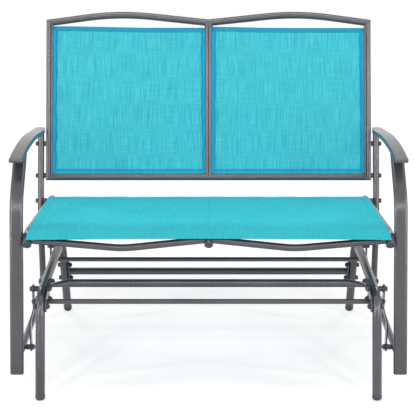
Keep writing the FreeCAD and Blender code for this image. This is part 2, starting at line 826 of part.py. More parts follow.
def post_path(foot_y, foot_z):
    beyond = size("armrest_crown_height") - size("post_crank_height")
    return [
        side_point(foot_y, foot_z),
        side_point(post_crank_y, size("post_crank_height")),
        side_point(post_crank_y + beyond * math.tan(post_crank_lean),
                   size("armrest_crown_height")),
    ]


def oval_section(name, placement):
    """A flat oval outline, wide across the bench and thin in depth."""
    half = size("post_width") / 2
    end = size("post_depth") / 2
    flat = half - end
    outline = [
        Part.LineSegment(Vector(-flat, end, 0), Vector(flat, end, 0)),
        Part.Arc(Vector(flat, end, 0), Vector(half, 0, 0), Vector(flat, -end, 0)),
        Part.LineSegment(Vector(flat, -end, 0), Vector(-flat, -end, 0)),
        Part.Arc(Vector(-flat, -end, 0), Vector(-half, 0, 0), Vector(-flat, end, 0)),
    ]
    return sketch(name, outline, placement)


# The seat rails' axis runs down to the rear and bends over at its nose
rail_slope = radians("seat_rail_slope")
nose_fall = radians("seat_nose_fall")
nose_radius = size("seat_nose_radius")
nose_reach = nose_radius * math.tan((rail_slope + nose_fall) / 2)
rail_run = Vector(-math.cos(rail_slope), math.sin(rail_slope), 0)
nose_run = Vector(-math.cos(nose_fall), -math.sin(nose_fall), 0)


def rail_height_at(y):
    """Height of the seat rails' straight axis at a depth."""
    return rear_seat_bolt[1] + (rear_seat_bolt[0] - y) * math.tan(rail_slope)


nose_corner = Vector(size("seat_nose_depth"), rail_height_at(size("seat_nose_depth")), 0)
nose_centre = nose_corner - rail_run * nose_reach
nose_centre += Vector(-rail_run.y, rail_run.x, 0) * nose_radius

# The front seat bolt crosses the rail's bend where the post's axis meets it
post_foot = Vector(size("post_foot_depth"), size("post_foot_height"), 0)
post_up = Vector(math.sin(post_lean), math.cos(post_lean), 0)
to_bend = nose_centre - post_foot
along_post = to_bend.dot(post_up)
past_foot = along_post + math.sqrt(nose_radius ** 2 - to_bend.Length ** 2 + along_post ** 2)
front_seat_bolt = (
    post_foot.x + past_foot * post_up.x, post_foot.y + past_foot * post_up.y
)

lower_back_bolt_z = back_foot_z + size("lower_back_bolt_rise")
back_bolts = [
    (arm_tube_depth_at(height), height)
    for height in (lower_back_bolt_z, lower_back_bolt_z + size("back_bolt_spacing"))
]


def make_arms():
    """The posts and J shaped tubes that carry the armrests, and the armrests on them."""
    ceiling = extruded_x("armrest_ceiling", above_armrest_underside(),
                         arm_x - size("armrest_middle_width"),
                         arm_x + size("armrest_middle_width"))
    corners = post_path(size("post_foot_depth"), size("post_foot_height"))
    edges = run_and_bend(corners, [size("post_crank_radius")])
    path = sketch("post_path", edges, side_plane(arm_x))
    foot = side_plane(arm_x).multVec(corners[0])
    slant = Placement(foot, Rotation(Vector(1, 0, 0), -size("post_lean")))
    tube = doc.addObject("Part::Sweep", "post_tube")
    tube.Sections = [oval_section("post_section", slant)]
    tube.Spine = (path, ["Edge1", "Edge2", "Edge3"])
    tube.Solid = True
    trimmed = cut("post_trimmed", tube, ceiling)
    post = drilled("arm_post_right", trimmed, [front_seat_bolt], post_inner_x - OVERRUN,
                   arm_x, BOLT_HOLE)
    pair("arm_post", post)

    plug = extruded("plug_blank", oval_section("plug_section", slant),
                    -size("post_plug_height"))
    doc.recompute()
    rounded = doc.addObject("Part::Fillet", "post_plug_right")
    rounded.Base = plug
    rim = size("post_plug_rounding")
    low = plug.Shape.BoundBox.ZMin + size("post_depth") / 3
    rounded.Edges = [
        (i + 1, rim, rim) for i, edge in enumerate(plug.Shape.Edges)
        if edge.BoundBox.ZMax < low
    ]
    pair("post_plug", rounded)

    beyond = size("armrest_crown_height")
    corners = [
        side_point(size("post_foot_depth"), lower_pivot_z),
        side_point(size("arm_tube_depth"), lower_pivot_z),
        side_point(size("arm_tube_depth"), size("arm_tube_crank_height")),
        side_point(arm_tube_depth_at(beyond), beyond),
    ]
    radii = [size("arm_tube_lower_radius"), size("arm_tube_upper_radius")]
    bent = bent_tube("arm_bent_tube", corners, radii, side_plane(arm_x), "arm_tube_diameter")
    under = cut("arm_tube_trimmed", bent, ceiling)
    coped = cut("arm_tube_coped", under, tube)
    doc.recompute()
    holes = lower_pivots + back_bolts + [rear_seat_bolt]
    arm = drilled("arm_tube_drilled", coped, holes, arm_inner_x - OVERRUN,
                  arm_outer_x + OVERRUN, BOLT_HOLE)
    front_scrap = doc.addObject("Part::Box", "arm_tube_front_scrap")
    front_scrap.Length = 2 * size("arm_tube_diameter")
    front_scrap.Width = 2 * size("post_depth")
    front_scrap.Height = 2 * size("arm_tube_diameter")
    post_axis_y = size("post_foot_depth") + (
        lower_pivot_z - size("post_foot_height")
    ) * math.tan(post_lean)
    front_scrap.Placement.Base = Vector(
        arm_x - size("arm_tube_diameter"),
        post_axis_y - middle_y - 2 * size("post_depth"),
        lower_pivot_z - size("arm_tube_diameter"),
    )
    pair("arm_tube", cut("arm_tube_right", arm, front_scrap))

    crest = extruded_x("armrest_crest", armrest_outline(size("armrest_thickness")),
                       arm_x - size("armrest_middle_width"), post_outer_x + OVERRUN)
    plan = sketch("armrest_plan", armrest_plan(), Placement())
    above = extruded("armrest_prism", plan, 2 * size("armrest_crown_height"))
    rest = doc.addObject("Part::Common", "armrest_blank")
    rest.Base = crest
    rest.Tool = above
    doc.recompute()
    soft = doc.addObject("Part::Fillet", "armrest_soft")
    soft.Base = rest
    edge_round = size("armrest_edge_rounding")
    soft.Edges = [
        (i + 1, edge_round, edge_round) for i, edge in enumerate(rest.Shape.Edges)
        if is_armrest_top_edge(edge)
    ]
    pair("armrest", soft)


def is_armrest_top_edge(edge):
    """The long edges of the top face, from which the rounding runs on round both ends."""
    if edge.BoundBox.XLength > edge.BoundBox.YLength:
        return False
    y = edge.CenterOfMass.y + middle_y
    z = edge.CenterOfMass.z
    crown_end = size("armrest_straight_from")
    over = crown_point(min(y, crown_end), 0)[1]
    if y > crown_end:
        crown_lean = (crown_end - size("armrest_crown_depth")) / size("armrest_crown_radius")
        over -= (y - crown_end) * math.tan(crown_lean)
    return z > over - size("armrest_thickness") / 3


def make_lower_pivots():
    flange = size("bush_flange_thickness")
    gap = size("running_gap")
    spacer_end = link_low_outer_x + flange + gap
    nut_seat = link_low_inner_x - flange - gap
    nut_end = nut_seat - size("nut_height")
    bolts = []
    spacers = []
    nuts = []
    for i, (y, z) in enumerate(lower_pivots):
        tip = nut_end - size("thread_overhang")
        bolts.append(bolt_x("lower_bolt_%d" % i, y, z, arm_outer_x, tip))
        nuts.append(nut_x("lower_nut_%d" % i, y, z, nut_seat, nut_end))
        spacers.append(sleeve_x("lower_spacer_%d" % i, y, z, spacer_end, arm_inner_x,
                                "sizes.spacer_diameter", BOLT_HOLE))
    both_sides("lower_pivot_bolts", bolts)
    both_sides("lower_pivot_nuts", nuts)
    both_sides("lower_pivot_spacers", spacers)


# Seat frame
def rail_corners(tail, tip):
    """The rails' axis: a tail behind the rear bolt, the nose's corner, the tip past its bend."""
    rear_y = rear_seat_bolt[0] + tail
    end = nose_corner + nose_run * (nose_reach + tip)
    return [
        side_point(rear_y, rail_height_at(rear_y)),
        side_point(nose_corner.x, nose_corner.y),
        side_point(end.x, end.y),
    ]


def make_seat_frame():
    """Five rails: two at the sides and one in the middle, tied by a front and a rear one."""
    tip = size("seat_nose_tip")
    corners = rail_corners(size("seat_rail_tail"), tip)
    nose = [nose_radius]
    side = bent_tube("seat_side_tube", corners, nose, side_plane(rail_x), "seat_rail_diameter")
    rail = drilled("seat_side_rail_right", side, [front_seat_bolt, rear_seat_bolt],
                   rail_inner_x - OVERRUN, rail_outer_x + OVERRUN, BOLT_HOLE)
    pair("seat_side_rail", rail)
    sides = group("seat_side_tubes", [side, mirrored("seat_side_tube_twin", side)])

    rear_rail_y = rear_seat_bolt[0] - size("rear_rail_setback")
    rear = cylinder_x("rear_rail_bar", rear_rail_y, rail_height_at(rear_rail_y), -rail_x, rail_x,
                      "sizes.rear_rail_diameter")
    named("seat_rear_rail", cut("seat_rear_rail", rear, sides))
    middle = bent_tube("middle_rail_tube", rail_corners(-size("rear_rail_setback"), tip), nose,
                       side_plane(0), "middle_rail_diameter")
    named("seat_middle_rail", cut("seat_middle_rail", middle, rear))

    bottom = corners[-1]
    front_y = bottom.x + size("front_rail_setback")
    past_centre = front_y + middle_y - nose_centre.x
    side_z = nose_centre.y + math.sqrt(nose_radius ** 2 - past_centre ** 2)
    dip_z = side_z - size("front_rail_dip")
    dip_radius = size("front_rail_dip_radius")
    wave = bent_tube(
        "front_rail_wave",
        [
            Vector(-rail_x, side_z, 0),
            Vector(-size("front_rail_dip_offset"), dip_z, 0),
            Vector(0, side_z + size("front_rail_middle_rise"), 0),
            Vector(size("front_rail_dip_offset"), dip_z, 0),
            Vector(rail_x, side_z, 0),
        ],
        [dip_radius, size("front_rail_middle_radius"), dip_radius],
        Placement(Vector(0, front_y, 0), FRONT_VIEW),
        "front_rail_diameter",
    )

    caps = []
    for name, x, diameter in (("side_cap", rail_x, "seat_rail_diameter"),
                              ("middle_cap", 0, "middle_rail_diameter")):
        blank = doc.addObject("Part::Cylinder", name + "_blank")
        blank.setExpression("Radius", "sizes.%s / 2" % diameter)
        blank.setExpression("Height", "sizes.seat_cap_height")
        forward = Vector(0, nose_run.x, nose_run.y)
        end = Vector(x, bottom.x, bottom.y)
        blank.Placement = Placement(end, Rotation(Vector(0, 0, 1), forward))
        dome = doc.addObject("Part::Fillet", name)
        dome.Base = blank
        doc.recompute()
        rim = size("seat_cap_rounding")
        dome.Edges = [
            (i + 1, rim, rim) for i, edge in enumerate(blank.Shape.Edges)
            if edge.Closed
            and (edge.CenterOfMass - end).dot(forward) > size("seat_cap_height") / 2
        ]
        caps.append(dome)
    caps.append(mirrored("side_cap_twin", caps[0]))
    named("seat_rail_caps", group("seat_rail_caps", caps))
    around = group("front_rail_neighbours", [sides, middle] + caps)
    named("seat_front_rail", cut("seat_front_rail", wave, around))


def make_seat_fasteners():
    tip = stile_inner_x + size("sling_groove_depth") + OVERRUN
    bolts = [bolt_x("back_bolt_%d" % i, y, z, arm_outer_x, tip)
             for i, (y, z) in enumerate(back_bolts)]
    both_sides("back_bolts", bolts)
    spacers = [sleeve_x("back_spacer_%d" % i, y, z, stile_outer_x, arm_inner_x,
                        "sizes.spacer_diameter", BOLT_HOLE)
               for i, (y, z) in enumerate(back_bolts)]
    both_sides("back_spacers", spacers)

    rear_y, rear_z = rear_seat_bolt
    front_y, front_z = front_seat_bolt
    nut_end = rail_inner_x - size("nut_height")
    rear = bolt_x("seat_rear_bolt", rear_y, rear_z, arm_outer_x,
                  nut_end - size("thread_overhang"))
    front = bolt_x("seat_front_bolt", front_y, front_z, rail_inner_x, arm_x - OVERRUN)
    both_sides("seat_bolts", [rear, front])
    both_sides("seat_nuts", [nut_x("seat_nut", rear_y, rear_z, rail_inner_x, nut_end)])
    both_sides("seat_spacers", [
        sleeve_x("seat_rear_spacer", rear_y, rear_z, rail_outer_x, arm_inner_x,
                 "sizes.spacer_diameter", BOLT_HOLE),
        sleeve_x("seat_front_spacer", front_y, front_z, rail_outer_x, post_inner_x,
                 "sizes.spacer_diameter", BOLT_HOLE),
    ])


# Back frame, drawn in its own reclined plane
def section_solid(name, low_x, high_x, depth, low_v, high_v, rounding):
    """A rounded bar up the back, centred on the back's plane."""
    half = depth / 2
    middle = (low_x + high_x) / 2
    wide = (high_x - low_x) / 2
    corners = [Vector(middle, -half, 0), Vector(middle + wide, -half, 0),
               Vector(middle + wide, half, 0), Vector(middle - wide, half, 0),
               Vector(middle - wide, -half, 0), Vector(middle, -half, 0)]
    edges = run_and_bend(corners, [rounding] * 4)
    foot = back_plane().multVec(Vector(0, low_v, 0))
    plane = Placement(foot, Rotation(Vector(1, 0, 0), -size("recline")))
    return extruded(name, sketch(name + "_section", edges, plane), high_v - low_v)


def groove(name, low_x, high_x, low_v, high_v):
    """The slot that a sling's edge sits in."""
    slot = size("sling_thickness") + 2 * size("sling_clearance")
    edges = polygon([Vector(low_x, -slot / 2, 0), Vector(high_x, -slot / 2, 0),
                     Vector(high_x, slot / 2, 0), Vector(low_x, slot / 2, 0)])
    foot = back_plane().multVec(Vector(0, low_v, 0))
    plane = Placement(foot, Rotation(Vector(1, 0, 0), -size("recline")))
    return extruded(name, sketch(name + "_section", edges, plane), high_v - low_v)


def back_side_point(out, up):
    """A point of the side view: distance behind the back's plane, distance up its slope."""
    return side_point(back_foot_y + up * back_up.y + out * back_up.z,
                      back_foot_z + up * back_up.z - out * back_up.y)


def mitre_block(name, inner, outer, side):
    """Everything on one side of a mitre, +1 to the left of the way from inner to outer."""
    along = (outer - inner).normalize()
    span = 2 * size("stile_depth")
    across = Vector(-along.y, along.x, 0) * (side * span)
    start = inner - along * span
    end = outer + along * span
    edges = polygon([start, end, end + across, start + across])
    block = extruded(name, sketch(name + "_outline", edges, back_plane()), span)
    block.Symmetric = True
    return block


def make_back_frame():
    length = size("back_length")
    rail_height = size("bottom_rail_height")
    groove_depth = size("sling_groove_depth")
    rail_radius = size("top_rail_diameter") / 2

    # Top rail, over two humps and out to the stiles' outer sides
    climb = size("hump_rise") / (stile_x - size("hump_offset"))
    end_x = stile_outer_x + OVERRUN
    end_v = top_rail_v - (end_x - stile_x) * climb
    hump_v = top_rail_v + size("hump_rise")
    corners = [
        Vector(-end_x, end_v, 0),
        Vector(-size("hump_offset"), hump_v, 0),
        Vector(0, top_rail_v, 0),
        Vector(size("hump_offset"), hump_v, 0),
        Vector(end_x, end_v, 0),
    ]
    radii = [size("hump_radius"), size("dip_radius"), size("hump_radius")]
    wave = bent_tube("top_rail_tube", corners, radii, back_plane(), "top_rail_diameter")
    top_corner = Vector(stile_x, top_rail_v, 0)
    inward = Vector(-1, climb, 0).normalize() + Vector(0, -1, 0)
    past_rail = mitre_block("top_mitre_past_rail", top_corner + inward, top_corner, -1)
    past_stile = mitre_block("top_mitre_past_stile", top_corner + inward, top_corner, 1)
    named("back_top_rail", cut("back_top_rail", wave, group("top_mitres", [
        past_rail, mirrored("top_mitre_twin", past_rail)
    ])))

    # Bottom rail, mitred with the stiles and drilled for the lower bolts' ends
    half = size("bottom_rail_depth") / 2
    outline = [back_side_point(out, up) for out, up in (
        (0, 0), (half, 0), (half, rail_height), (-half, rail_height), (-half, 0), (0, 0)
    )]
    bar = extruded_x("bottom_rail_bar", run_and_bend(outline, [size("bottom_rail_rounding")] * 4),
                     -stile_outer_x, stile_outer_x)
    inner = Vector(stile_inner_x, rail_height, 0)
    outer = Vector(stile_outer_x, 0, 0)
    below_rail = mitre_block("foot_mitre_past_rail", inner, outer, 1)
    below_stile = mitre_block("foot_mitre_past_stile", inner, outer, -1)
    drill = cylinder_x("bottom_rail_drill", *back_bolts[0], stile_inner_x - OVERRUN,
                       stile_outer_x, BOLT_HOLE)
    bottom = cut("back_bottom_rail", bar, group("foot_mitres", [
        below_rail, mirrored("foot_mitre_twin", below_rail),
        drill, mirrored("bottom_rail_drill_twin", drill),
    ]))
    named("back_bottom_rail", bottom)

    # Stiles: a tube outside, a channel for the sling inside, and the web between them
    tube_x = stile_outer_x - size("stile_tube_width")
    channel_x = tube_x - size("channel_gap")
    web_x = tube_x - size("channel_gap") / 2
    half_web = size("web_width") / 2
    rim = size("channel_rounding")
    stile = fused("stile_bar", [
        section_solid("stile_tube", tube_x, stile_outer_x, size("stile_depth"), 0, length,
                      size("stile_rounding")),
        section_solid("stile_channel", stile_inner_x, channel_x, size("channel_depth"), 0,
                      length, rim),
        section_solid("stile_web", web_x - half_web, web_x + half_web, size("web_depth"), 0,
                      length, rim),
    ])
    slot = groove("stile_groove", stile_inner_x - OVERRUN, stile_inner_x + groove_depth,
                  rail_height, length - 2 * rail_radius)
    shaped = cut("stile_mitred", stile, group("stile_cuts", [past_stile, below_stile, slot]))
    upright = drilled("back_stile_right", shaped, back_bolts, stile_inner_x - OVERRUN,
                      stile_outer_x + OVERRUN, BOLT_HOLE)
    pair("back_stile", upright)

    # Middle stile: two channels back to back
    half = size("middle_stile_width") / 2
    seam = size("channel_gap") / 2
    deep = size("middle_stile_depth")
    low_v = rail_height / 2
    high_v = length - rail_radius
    post = fused("middle_bar", [
        section_solid("middle_channel_right", seam, half, deep, low_v, high_v,
                      size("middle_stile_rounding")),
        section_solid("middle_channel_left", -half, -seam, deep, low_v, high_v,
                      size("middle_stile_rounding")),
        section_solid("middle_web", -half_web, half_web, size("web_depth"), low_v, high_v, rim),
    ])
    slots = group("middle_grooves", [
        groove("middle_groove_right", half - groove_depth, half + OVERRUN, rail_height,
               length - 2 * rail_radius),
        groove("middle_groove_left", -half - OVERRUN, -half + groove_depth, rail_height,
               length - 2 * rail_radius),
    ])
    grooved = cut("middle_grooved", post, slots)
    rails = group("middle_stile_ends", [wave, bottom])
    named("back_middle_stile", cut("back_middle_stile", grooved, rails))


def make_slings():
    """Stretched fabric. Its edges sit in the frames' grooves."""
    clear = size("sling_clearance")
    groove_depth = size("sling_groove_depth")
    low_x = size("middle_stile_width") / 2 - groove_depth + clear
    high_x = stile_inner_x + groove_depth - clear
    half = size("sling_thickness") / 2
    edges = polygon([Vector(low_x, -half, 0), Vector(high_x, -half, 0),
                     Vector(high_x, half, 0), Vector(low_x, half, 0)])
    low_v = size("bottom_rail_height") + clear
    foot = back_plane().multVec(Vector(0, low_v, 0))
    plane = Placement(foot, Rotation(Vector(1, 0, 0), -size("recline")))
    panel = extruded("back_sling_right", sketch("back_sling_section", edges, plane),
                     size("back_sling_top") - low_v)
    pair("back_sling", panel)

    over = size("seat_rail_diameter") / 2 + clear
    rear, corner, hem = rail_corners(-size("seat_sling_rear_margin"),
                                     size("seat_nose_tip") - size("seat_sling_front_margin"))
    lift = Vector(rail_run.y, -rail_run.x, 0)
    nose_lift = Vector(nose_run.y, -nose_run.x, 0)
    corner_lift = (lift + nose_lift).normalize() * (1 / math.cos((rail_slope + nose_fall) / 2))
    edges = []
    ends = []
    for reach in (over, over + size("sling_thickness")):
        line = [rear + lift * reach, corner + corner_lift * reach, hem + nose_lift * reach]
        edges += run_and_bend(line, [nose_radius + reach])
        ends.append((line[0], line[-1]))
    edges.append(Part.LineSegment(ends[0][0], ends[1][0]))
    edges.append(Part.LineSegment(ends[0][1], ends[1][1]))
    half_width = rail_x + size("seat_sling_overhang")
    named("seat_sling", extruded_x("seat_sling", edges, -half_width, half_width))


make_base_arches()
make_foot_caps()
make_cross_bars()
make_base_fasteners()
make_swing("front", front_pivot_y)
make_swing("rear", rear_pivot_y)
make_arms()
make_lower_pivots()
make_seat_frame()
make_back_frame()
make_slings()
make_seat_fasteners()
doc.recompute()

for thing in doc.Objects:
    if "Invalid" in thing.State or "Error" in thing.State:
        raise RuntimeError("%s failed: %s" % (thing.Label, thing.State))
for thing in subparts:
    if thing.Shape.isNull() or not thing.Shape.isValid():
        raise RuntimeError("%s has no valid shape" % thing.Label)

os.makedirs("parts", exist_ok=True)
for thing in subparts:
    thing.Shape.exportStep("parts/%s.step" % thing.Label)
print("wrote %d sub-parts" % len(subparts))
whole = FreeCAD.BoundBox()
for thing in subparts:
    whole.add(thing.Shape.BoundBox)
print("overall %.1f x %.1f x %.1f" % (whole.XLength, whole.YLength, whole.ZLength))
print("middle of depth %.3f, lowest point %.3f" % (whole.Center.y, whole.ZMin))
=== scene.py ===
# %% [markdown]
# # A two seat glider bench
#
# The bench has a steel frame with a grey powder coat, and three panels of turquoise mesh
# fabric: two in the back and one over the seat. The frame's tubes, links and brackets come in
# with their real sizes. This lesson gives every surface its finish, and models what a frame
# drawing leaves plain: the stretched fabric, its hems and stitches, the bolts and the welds.

import json
import math

import bmesh
import bpy
from mathutils import Matrix, Vector, noise

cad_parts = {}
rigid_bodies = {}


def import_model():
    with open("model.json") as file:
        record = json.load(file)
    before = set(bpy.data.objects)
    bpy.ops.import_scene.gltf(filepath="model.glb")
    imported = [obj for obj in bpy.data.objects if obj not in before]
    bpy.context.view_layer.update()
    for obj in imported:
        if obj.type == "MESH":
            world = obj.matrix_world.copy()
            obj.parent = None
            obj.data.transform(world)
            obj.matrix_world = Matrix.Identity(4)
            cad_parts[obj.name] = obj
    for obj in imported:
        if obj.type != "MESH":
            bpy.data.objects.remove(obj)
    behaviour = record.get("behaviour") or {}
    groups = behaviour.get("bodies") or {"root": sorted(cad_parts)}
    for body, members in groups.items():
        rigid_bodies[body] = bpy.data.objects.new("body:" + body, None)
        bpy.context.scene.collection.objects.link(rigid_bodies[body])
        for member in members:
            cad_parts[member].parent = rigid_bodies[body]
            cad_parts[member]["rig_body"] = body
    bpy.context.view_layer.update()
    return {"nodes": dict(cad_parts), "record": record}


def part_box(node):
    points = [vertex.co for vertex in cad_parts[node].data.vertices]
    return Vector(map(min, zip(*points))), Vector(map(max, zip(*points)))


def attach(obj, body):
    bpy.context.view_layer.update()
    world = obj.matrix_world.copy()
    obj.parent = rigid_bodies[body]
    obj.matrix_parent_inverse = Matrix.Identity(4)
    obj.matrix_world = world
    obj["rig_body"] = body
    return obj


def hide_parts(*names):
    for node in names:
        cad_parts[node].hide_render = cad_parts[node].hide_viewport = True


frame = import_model()

# %% [markdown]
# ## Places that everything else is worked out from
#
# The fabric lies in two flat planes: the back's, which leans, and the seat's, which slopes down
# to the rear. The back's plane stands on the middle of its bottom rail. The seat's plane runs
# through the bolts that hold the rear ends of the seat's side rails. Both are worked out once,
# from the frame's own boxes, so that every piece of cloth starts from the same two planes.

# %% Measure the frame
MM = 0.001
DRAWN_HEAD_RADIUS = 7 * MM
RECLINE = math.radians(18.07)
SEAT_SLOPE = math.radians(5.59)
BOTTOM_RAIL_HEIGHT = 20 * MM


def middle_of(node):
    low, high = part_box(node)
    return (low + high) / 2


back_up = Vector((0, math.sin(RECLINE), math.cos(RECLINE)))
back_out = Vector((0, -math.cos(RECLINE), math.sin(RECLINE)))
back_foot = middle_of("back_bottom_rail") - back_up * BOTTOM_RAIL_HEIGHT / 2

seat_run = Vector((0, -math.cos(SEAT_SLOPE), math.sin(SEAT_SLOPE)))
seat_up = Vector((0, math.sin(SEAT_SLOPE), math.cos(SEAT_SLOPE)))
bolt_low, bolt_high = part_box("seat_bolts")
rear_bolt = Vector((0, bolt_high.y - DRAWN_HEAD_RADIUS, bolt_low.z + DRAWN_HEAD_RADIUS))
print("back foot", [round(v, 4) for v in back_foot], "rear bolt", [round(v, 4) for v in rear_bolt])

# %% [markdown]
# ## Small helpers
#
# A finished piece is a mesh whose place is in its points, on an object at the origin. Each one
# rides on the part of the bench that carries it, and takes its materials.


# %% Turn a bmesh into a piece
def mesh_from(bm, name):
    mesh = bpy.data.meshes.new(name)
    bm.to_mesh(mesh)
    bm.free()
    return mesh


def add_object(name, data):
    thing = bpy.data.objects.new(name, data)
    bpy.context.scene.collection.objects.link(thing)
    return thing


def make_piece(name, bm, body, materials, smooth=True):
    """A finished piece, on the body that carries it. The bmesh is used up."""
    bmesh.ops.recalc_face_normals(bm, faces=bm.faces)
    for face in bm.faces:
        face.smooth = smooth
    mesh = mesh_from(bm, name)
    piece = add_object(name, mesh)
    for material in materials:
        mesh.materials.append(material)
    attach(piece, body)
    print(name, len(mesh.polygons), "faces")
    return piece


# %% [markdown]
# ## Building materials out of nodes
#
# Each finish is a small tree of nodes. These helpers add a node with its settings and keep
# the recipes below short enough to read as sentences.


# %% Start a material
def empty_tree(owner):
    """The emptied node tree of a material or a world."""
    owner.use_nodes = True
    owner.node_tree.nodes.clear()
    return owner.node_tree


def new_material(name):
    material = bpy.data.materials.new(name)
    tree = empty_tree(material)
    shader = add_node(tree, "BsdfPrincipled")
    add_node(tree, "OutputMaterial", inputs={"Surface": shader.outputs["BSDF"]})
    print("finish", name)
    return material, tree, shader


def add_node(tree, kind, settings=(), inputs=()):
    """A node with its settings. An input is a number, a colour or the output of another node."""
    node = tree.nodes.new("ShaderNode" + kind)
    for name, value in dict(settings).items():
        setattr(node, name, value)
    for name, value in dict(inputs).items():
        if isinstance(value, bpy.types.NodeSocket):
            tree.links.new(value, node.inputs[name])
        else:
            node.inputs[name].default_value = value
    return node


# %% Blend, stretch and roughen
def blend_colours(tree, factor, dark, light):
    """Blend from the dark colour to the light one as a value goes from 0 to 1."""
    mix = add_node(tree, "Mix", {"data_type": "RGBA"})
    tree.links.new(factor, mix.inputs["Factor"])
    for socket, colour in (("A", dark), ("B", light)):
        chosen = [s for s in mix.inputs if s.name == socket and s.type == "RGBA"][0]
        if isinstance(colour, bpy.types.NodeSocket):
            tree.links.new(colour, chosen)
        else:
            chosen.default_value = (*colour, 1)
    return [s for s in mix.outputs if s.type == "RGBA"][0]


def spread(tree, value, low, high, new_low=0.0, new_high=1.0):
    """Stretch the middle part of a noise so that it reaches from one value to another."""
    node = add_node(tree, "MapRange", {"clamp": True}, {
        "Value": value, "From Min": low, "From Max": high, "To Min": new_low, "To Max": new_high,
    })
    return node.outputs["Result"]


def noise_value(tree, place, per_metre, detail):
    """A noise that changes so many times in a metre."""
    inputs = {"Vector": place, "Scale": per_metre, "Detail": detail}
    return add_node(tree, "TexNoise", inputs=inputs).outputs["Fac"]


def add_bump(tree, shader, height, strength, distance):
    inputs = {"Height": height, "Strength": strength, "Distance": distance}
    bump = add_node(tree, "Bump", inputs=inputs)
    tree.links.new(bump.outputs["Normal"], shader.inputs["Normal"])


# %% [markdown]
# ## The powder coat
#
# The tubes are coated with a grey powder that is baked on. It is satin: highlights are broad and
# soft, and the surface has the faint ripple of orange peel. One flat grey would look like
# plastic. So a fine noise bends the normals a little, a larger one shifts tone and gloss, and
# tiny specks of lighter powder break up the grey.

# %% Powder coat
CLOUDS_PER_METRE = 9.0
RIPPLES_PER_METRE = 420.0
SPECKS_PER_METRE = 1400.0
SPECK_LIGHTNESS = 1.9
SPECK_STRENGTH = 0.35
RIPPLE_STRENGTH = 0.03
RIPPLE_HEIGHT = 0.5 * MM


def powder_coat(name, dark, light, rough_low, rough_high):
    material, tree, shader = new_material(name)
    place = add_node(tree, "TexCoord").outputs["Object"]
    clouds = noise_value(tree, place, CLOUDS_PER_METRE, 3.0)
    grain = noise_value(tree, place, SPECKS_PER_METRE, 2.0)
    ripple = noise_value(tree, place, RIPPLES_PER_METRE, 1.0)
    base = blend_colours(tree, spread(tree, clouds, 0.35, 0.65), dark, light)
    speck = spread(tree, grain, 0.62, 0.8, 0.0, SPECK_STRENGTH)
    pale_speck = [min(1, SPECK_LIGHTNESS * c) for c in light]
    tree.links.new(blend_colours(tree, speck, base, pale_speck), shader.inputs["Base Color"])
    tree.links.new(spread(tree, clouds, 0.3, 0.7, rough_low, rough_high),
                   shader.inputs["Roughness"])
    add_bump(tree, shader, ripple, RIPPLE_STRENGTH, RIPPLE_HEIGHT)
    shader.inputs["Specular IOR Level"].default_value = 0.9
    shader.inputs["Metallic"].default_value = 0.3
    return material


frame_paint = powder_coat("frame_powder_coat", (0.055, 0.056, 0.064), (0.073, 0.074, 0.084),
                          0.21, 0.28)
armrest_paint = powder_coat("armrest_powder_coat", (0.056, 0.057, 0.063), (0.074, 0.075, 0.082),
                            0.20, 0.26)

# %% [markdown]
# ## Dark steel, moulded caps and nylon
#
# The bolts and nuts have a dark zinc finish, a little worn where a spanner turned them, and the
# dome nuts of the cross bars are black. The caps on the feet and rails are moulded plastic with
# a faint grain, and the bushes in the links' eyes are plain black nylon. The sewing thread is a
# matt blue. All of these are small, so one recipe serves them: a patchy tone, a roughness that
# follows it, and a fine grain as a bump.

# %% Fastener, plastic and thread finishes
PATCHES_PER_METRE = 60.0
GRAIN_STRENGTH = 0.25


def plain_finish(name, dark, light, rough_low, rough_high, grain_scale, grain_height, metal=0.0):
    material, tree, shader = new_material(name)
    place = add_node(tree, "TexCoord").outputs["Object"]
    patches = noise_value(tree, place, PATCHES_PER_METRE, 4.0)
    grain = noise_value(tree, place, grain_scale, 2.0)
    tone = spread(tree, patches, 0.35, 0.7)
    tree.links.new(blend_colours(tree, tone, dark, light), shader.inputs["Base Color"])
    tree.links.new(spread(tree, patches, 0.3, 0.7, rough_low, rough_high),
                   shader.inputs["Roughness"])
    add_bump(tree, shader, grain, GRAIN_STRENGTH, grain_height)
    shader.inputs["Metallic"].default_value = metal
    return material


dark_zinc = plain_finish("dark_zinc", (0.050, 0.051, 0.054), (0.120, 0.120, 0.124),
                         0.28, 0.44, 900.0, 0.3 * MM, metal=0.7)
black_cap = plain_finish("black_cap", (0.014, 0.015, 0.018), (0.026, 0.027, 0.031),
                         0.30, 0.42, 700.0, 0.2 * MM)
cap_plastic = plain_finish("moulded_cap", (0.054, 0.055, 0.060), (0.074, 0.075, 0.081),
                           0.46, 0.58, 1200.0, 0.3 * MM)
bush_nylon = plain_finish("bush_nylon", (0.030, 0.030, 0.031), (0.045, 0.045, 0.046),
                          0.42, 0.55, 700.0, 0.2 * MM)
thread = plain_finish("sewing_thread", (0.012, 0.230, 0.360), (0.018, 0.300, 0.430),
                      0.60, 0.75, 2600.0, 0.2 * MM)
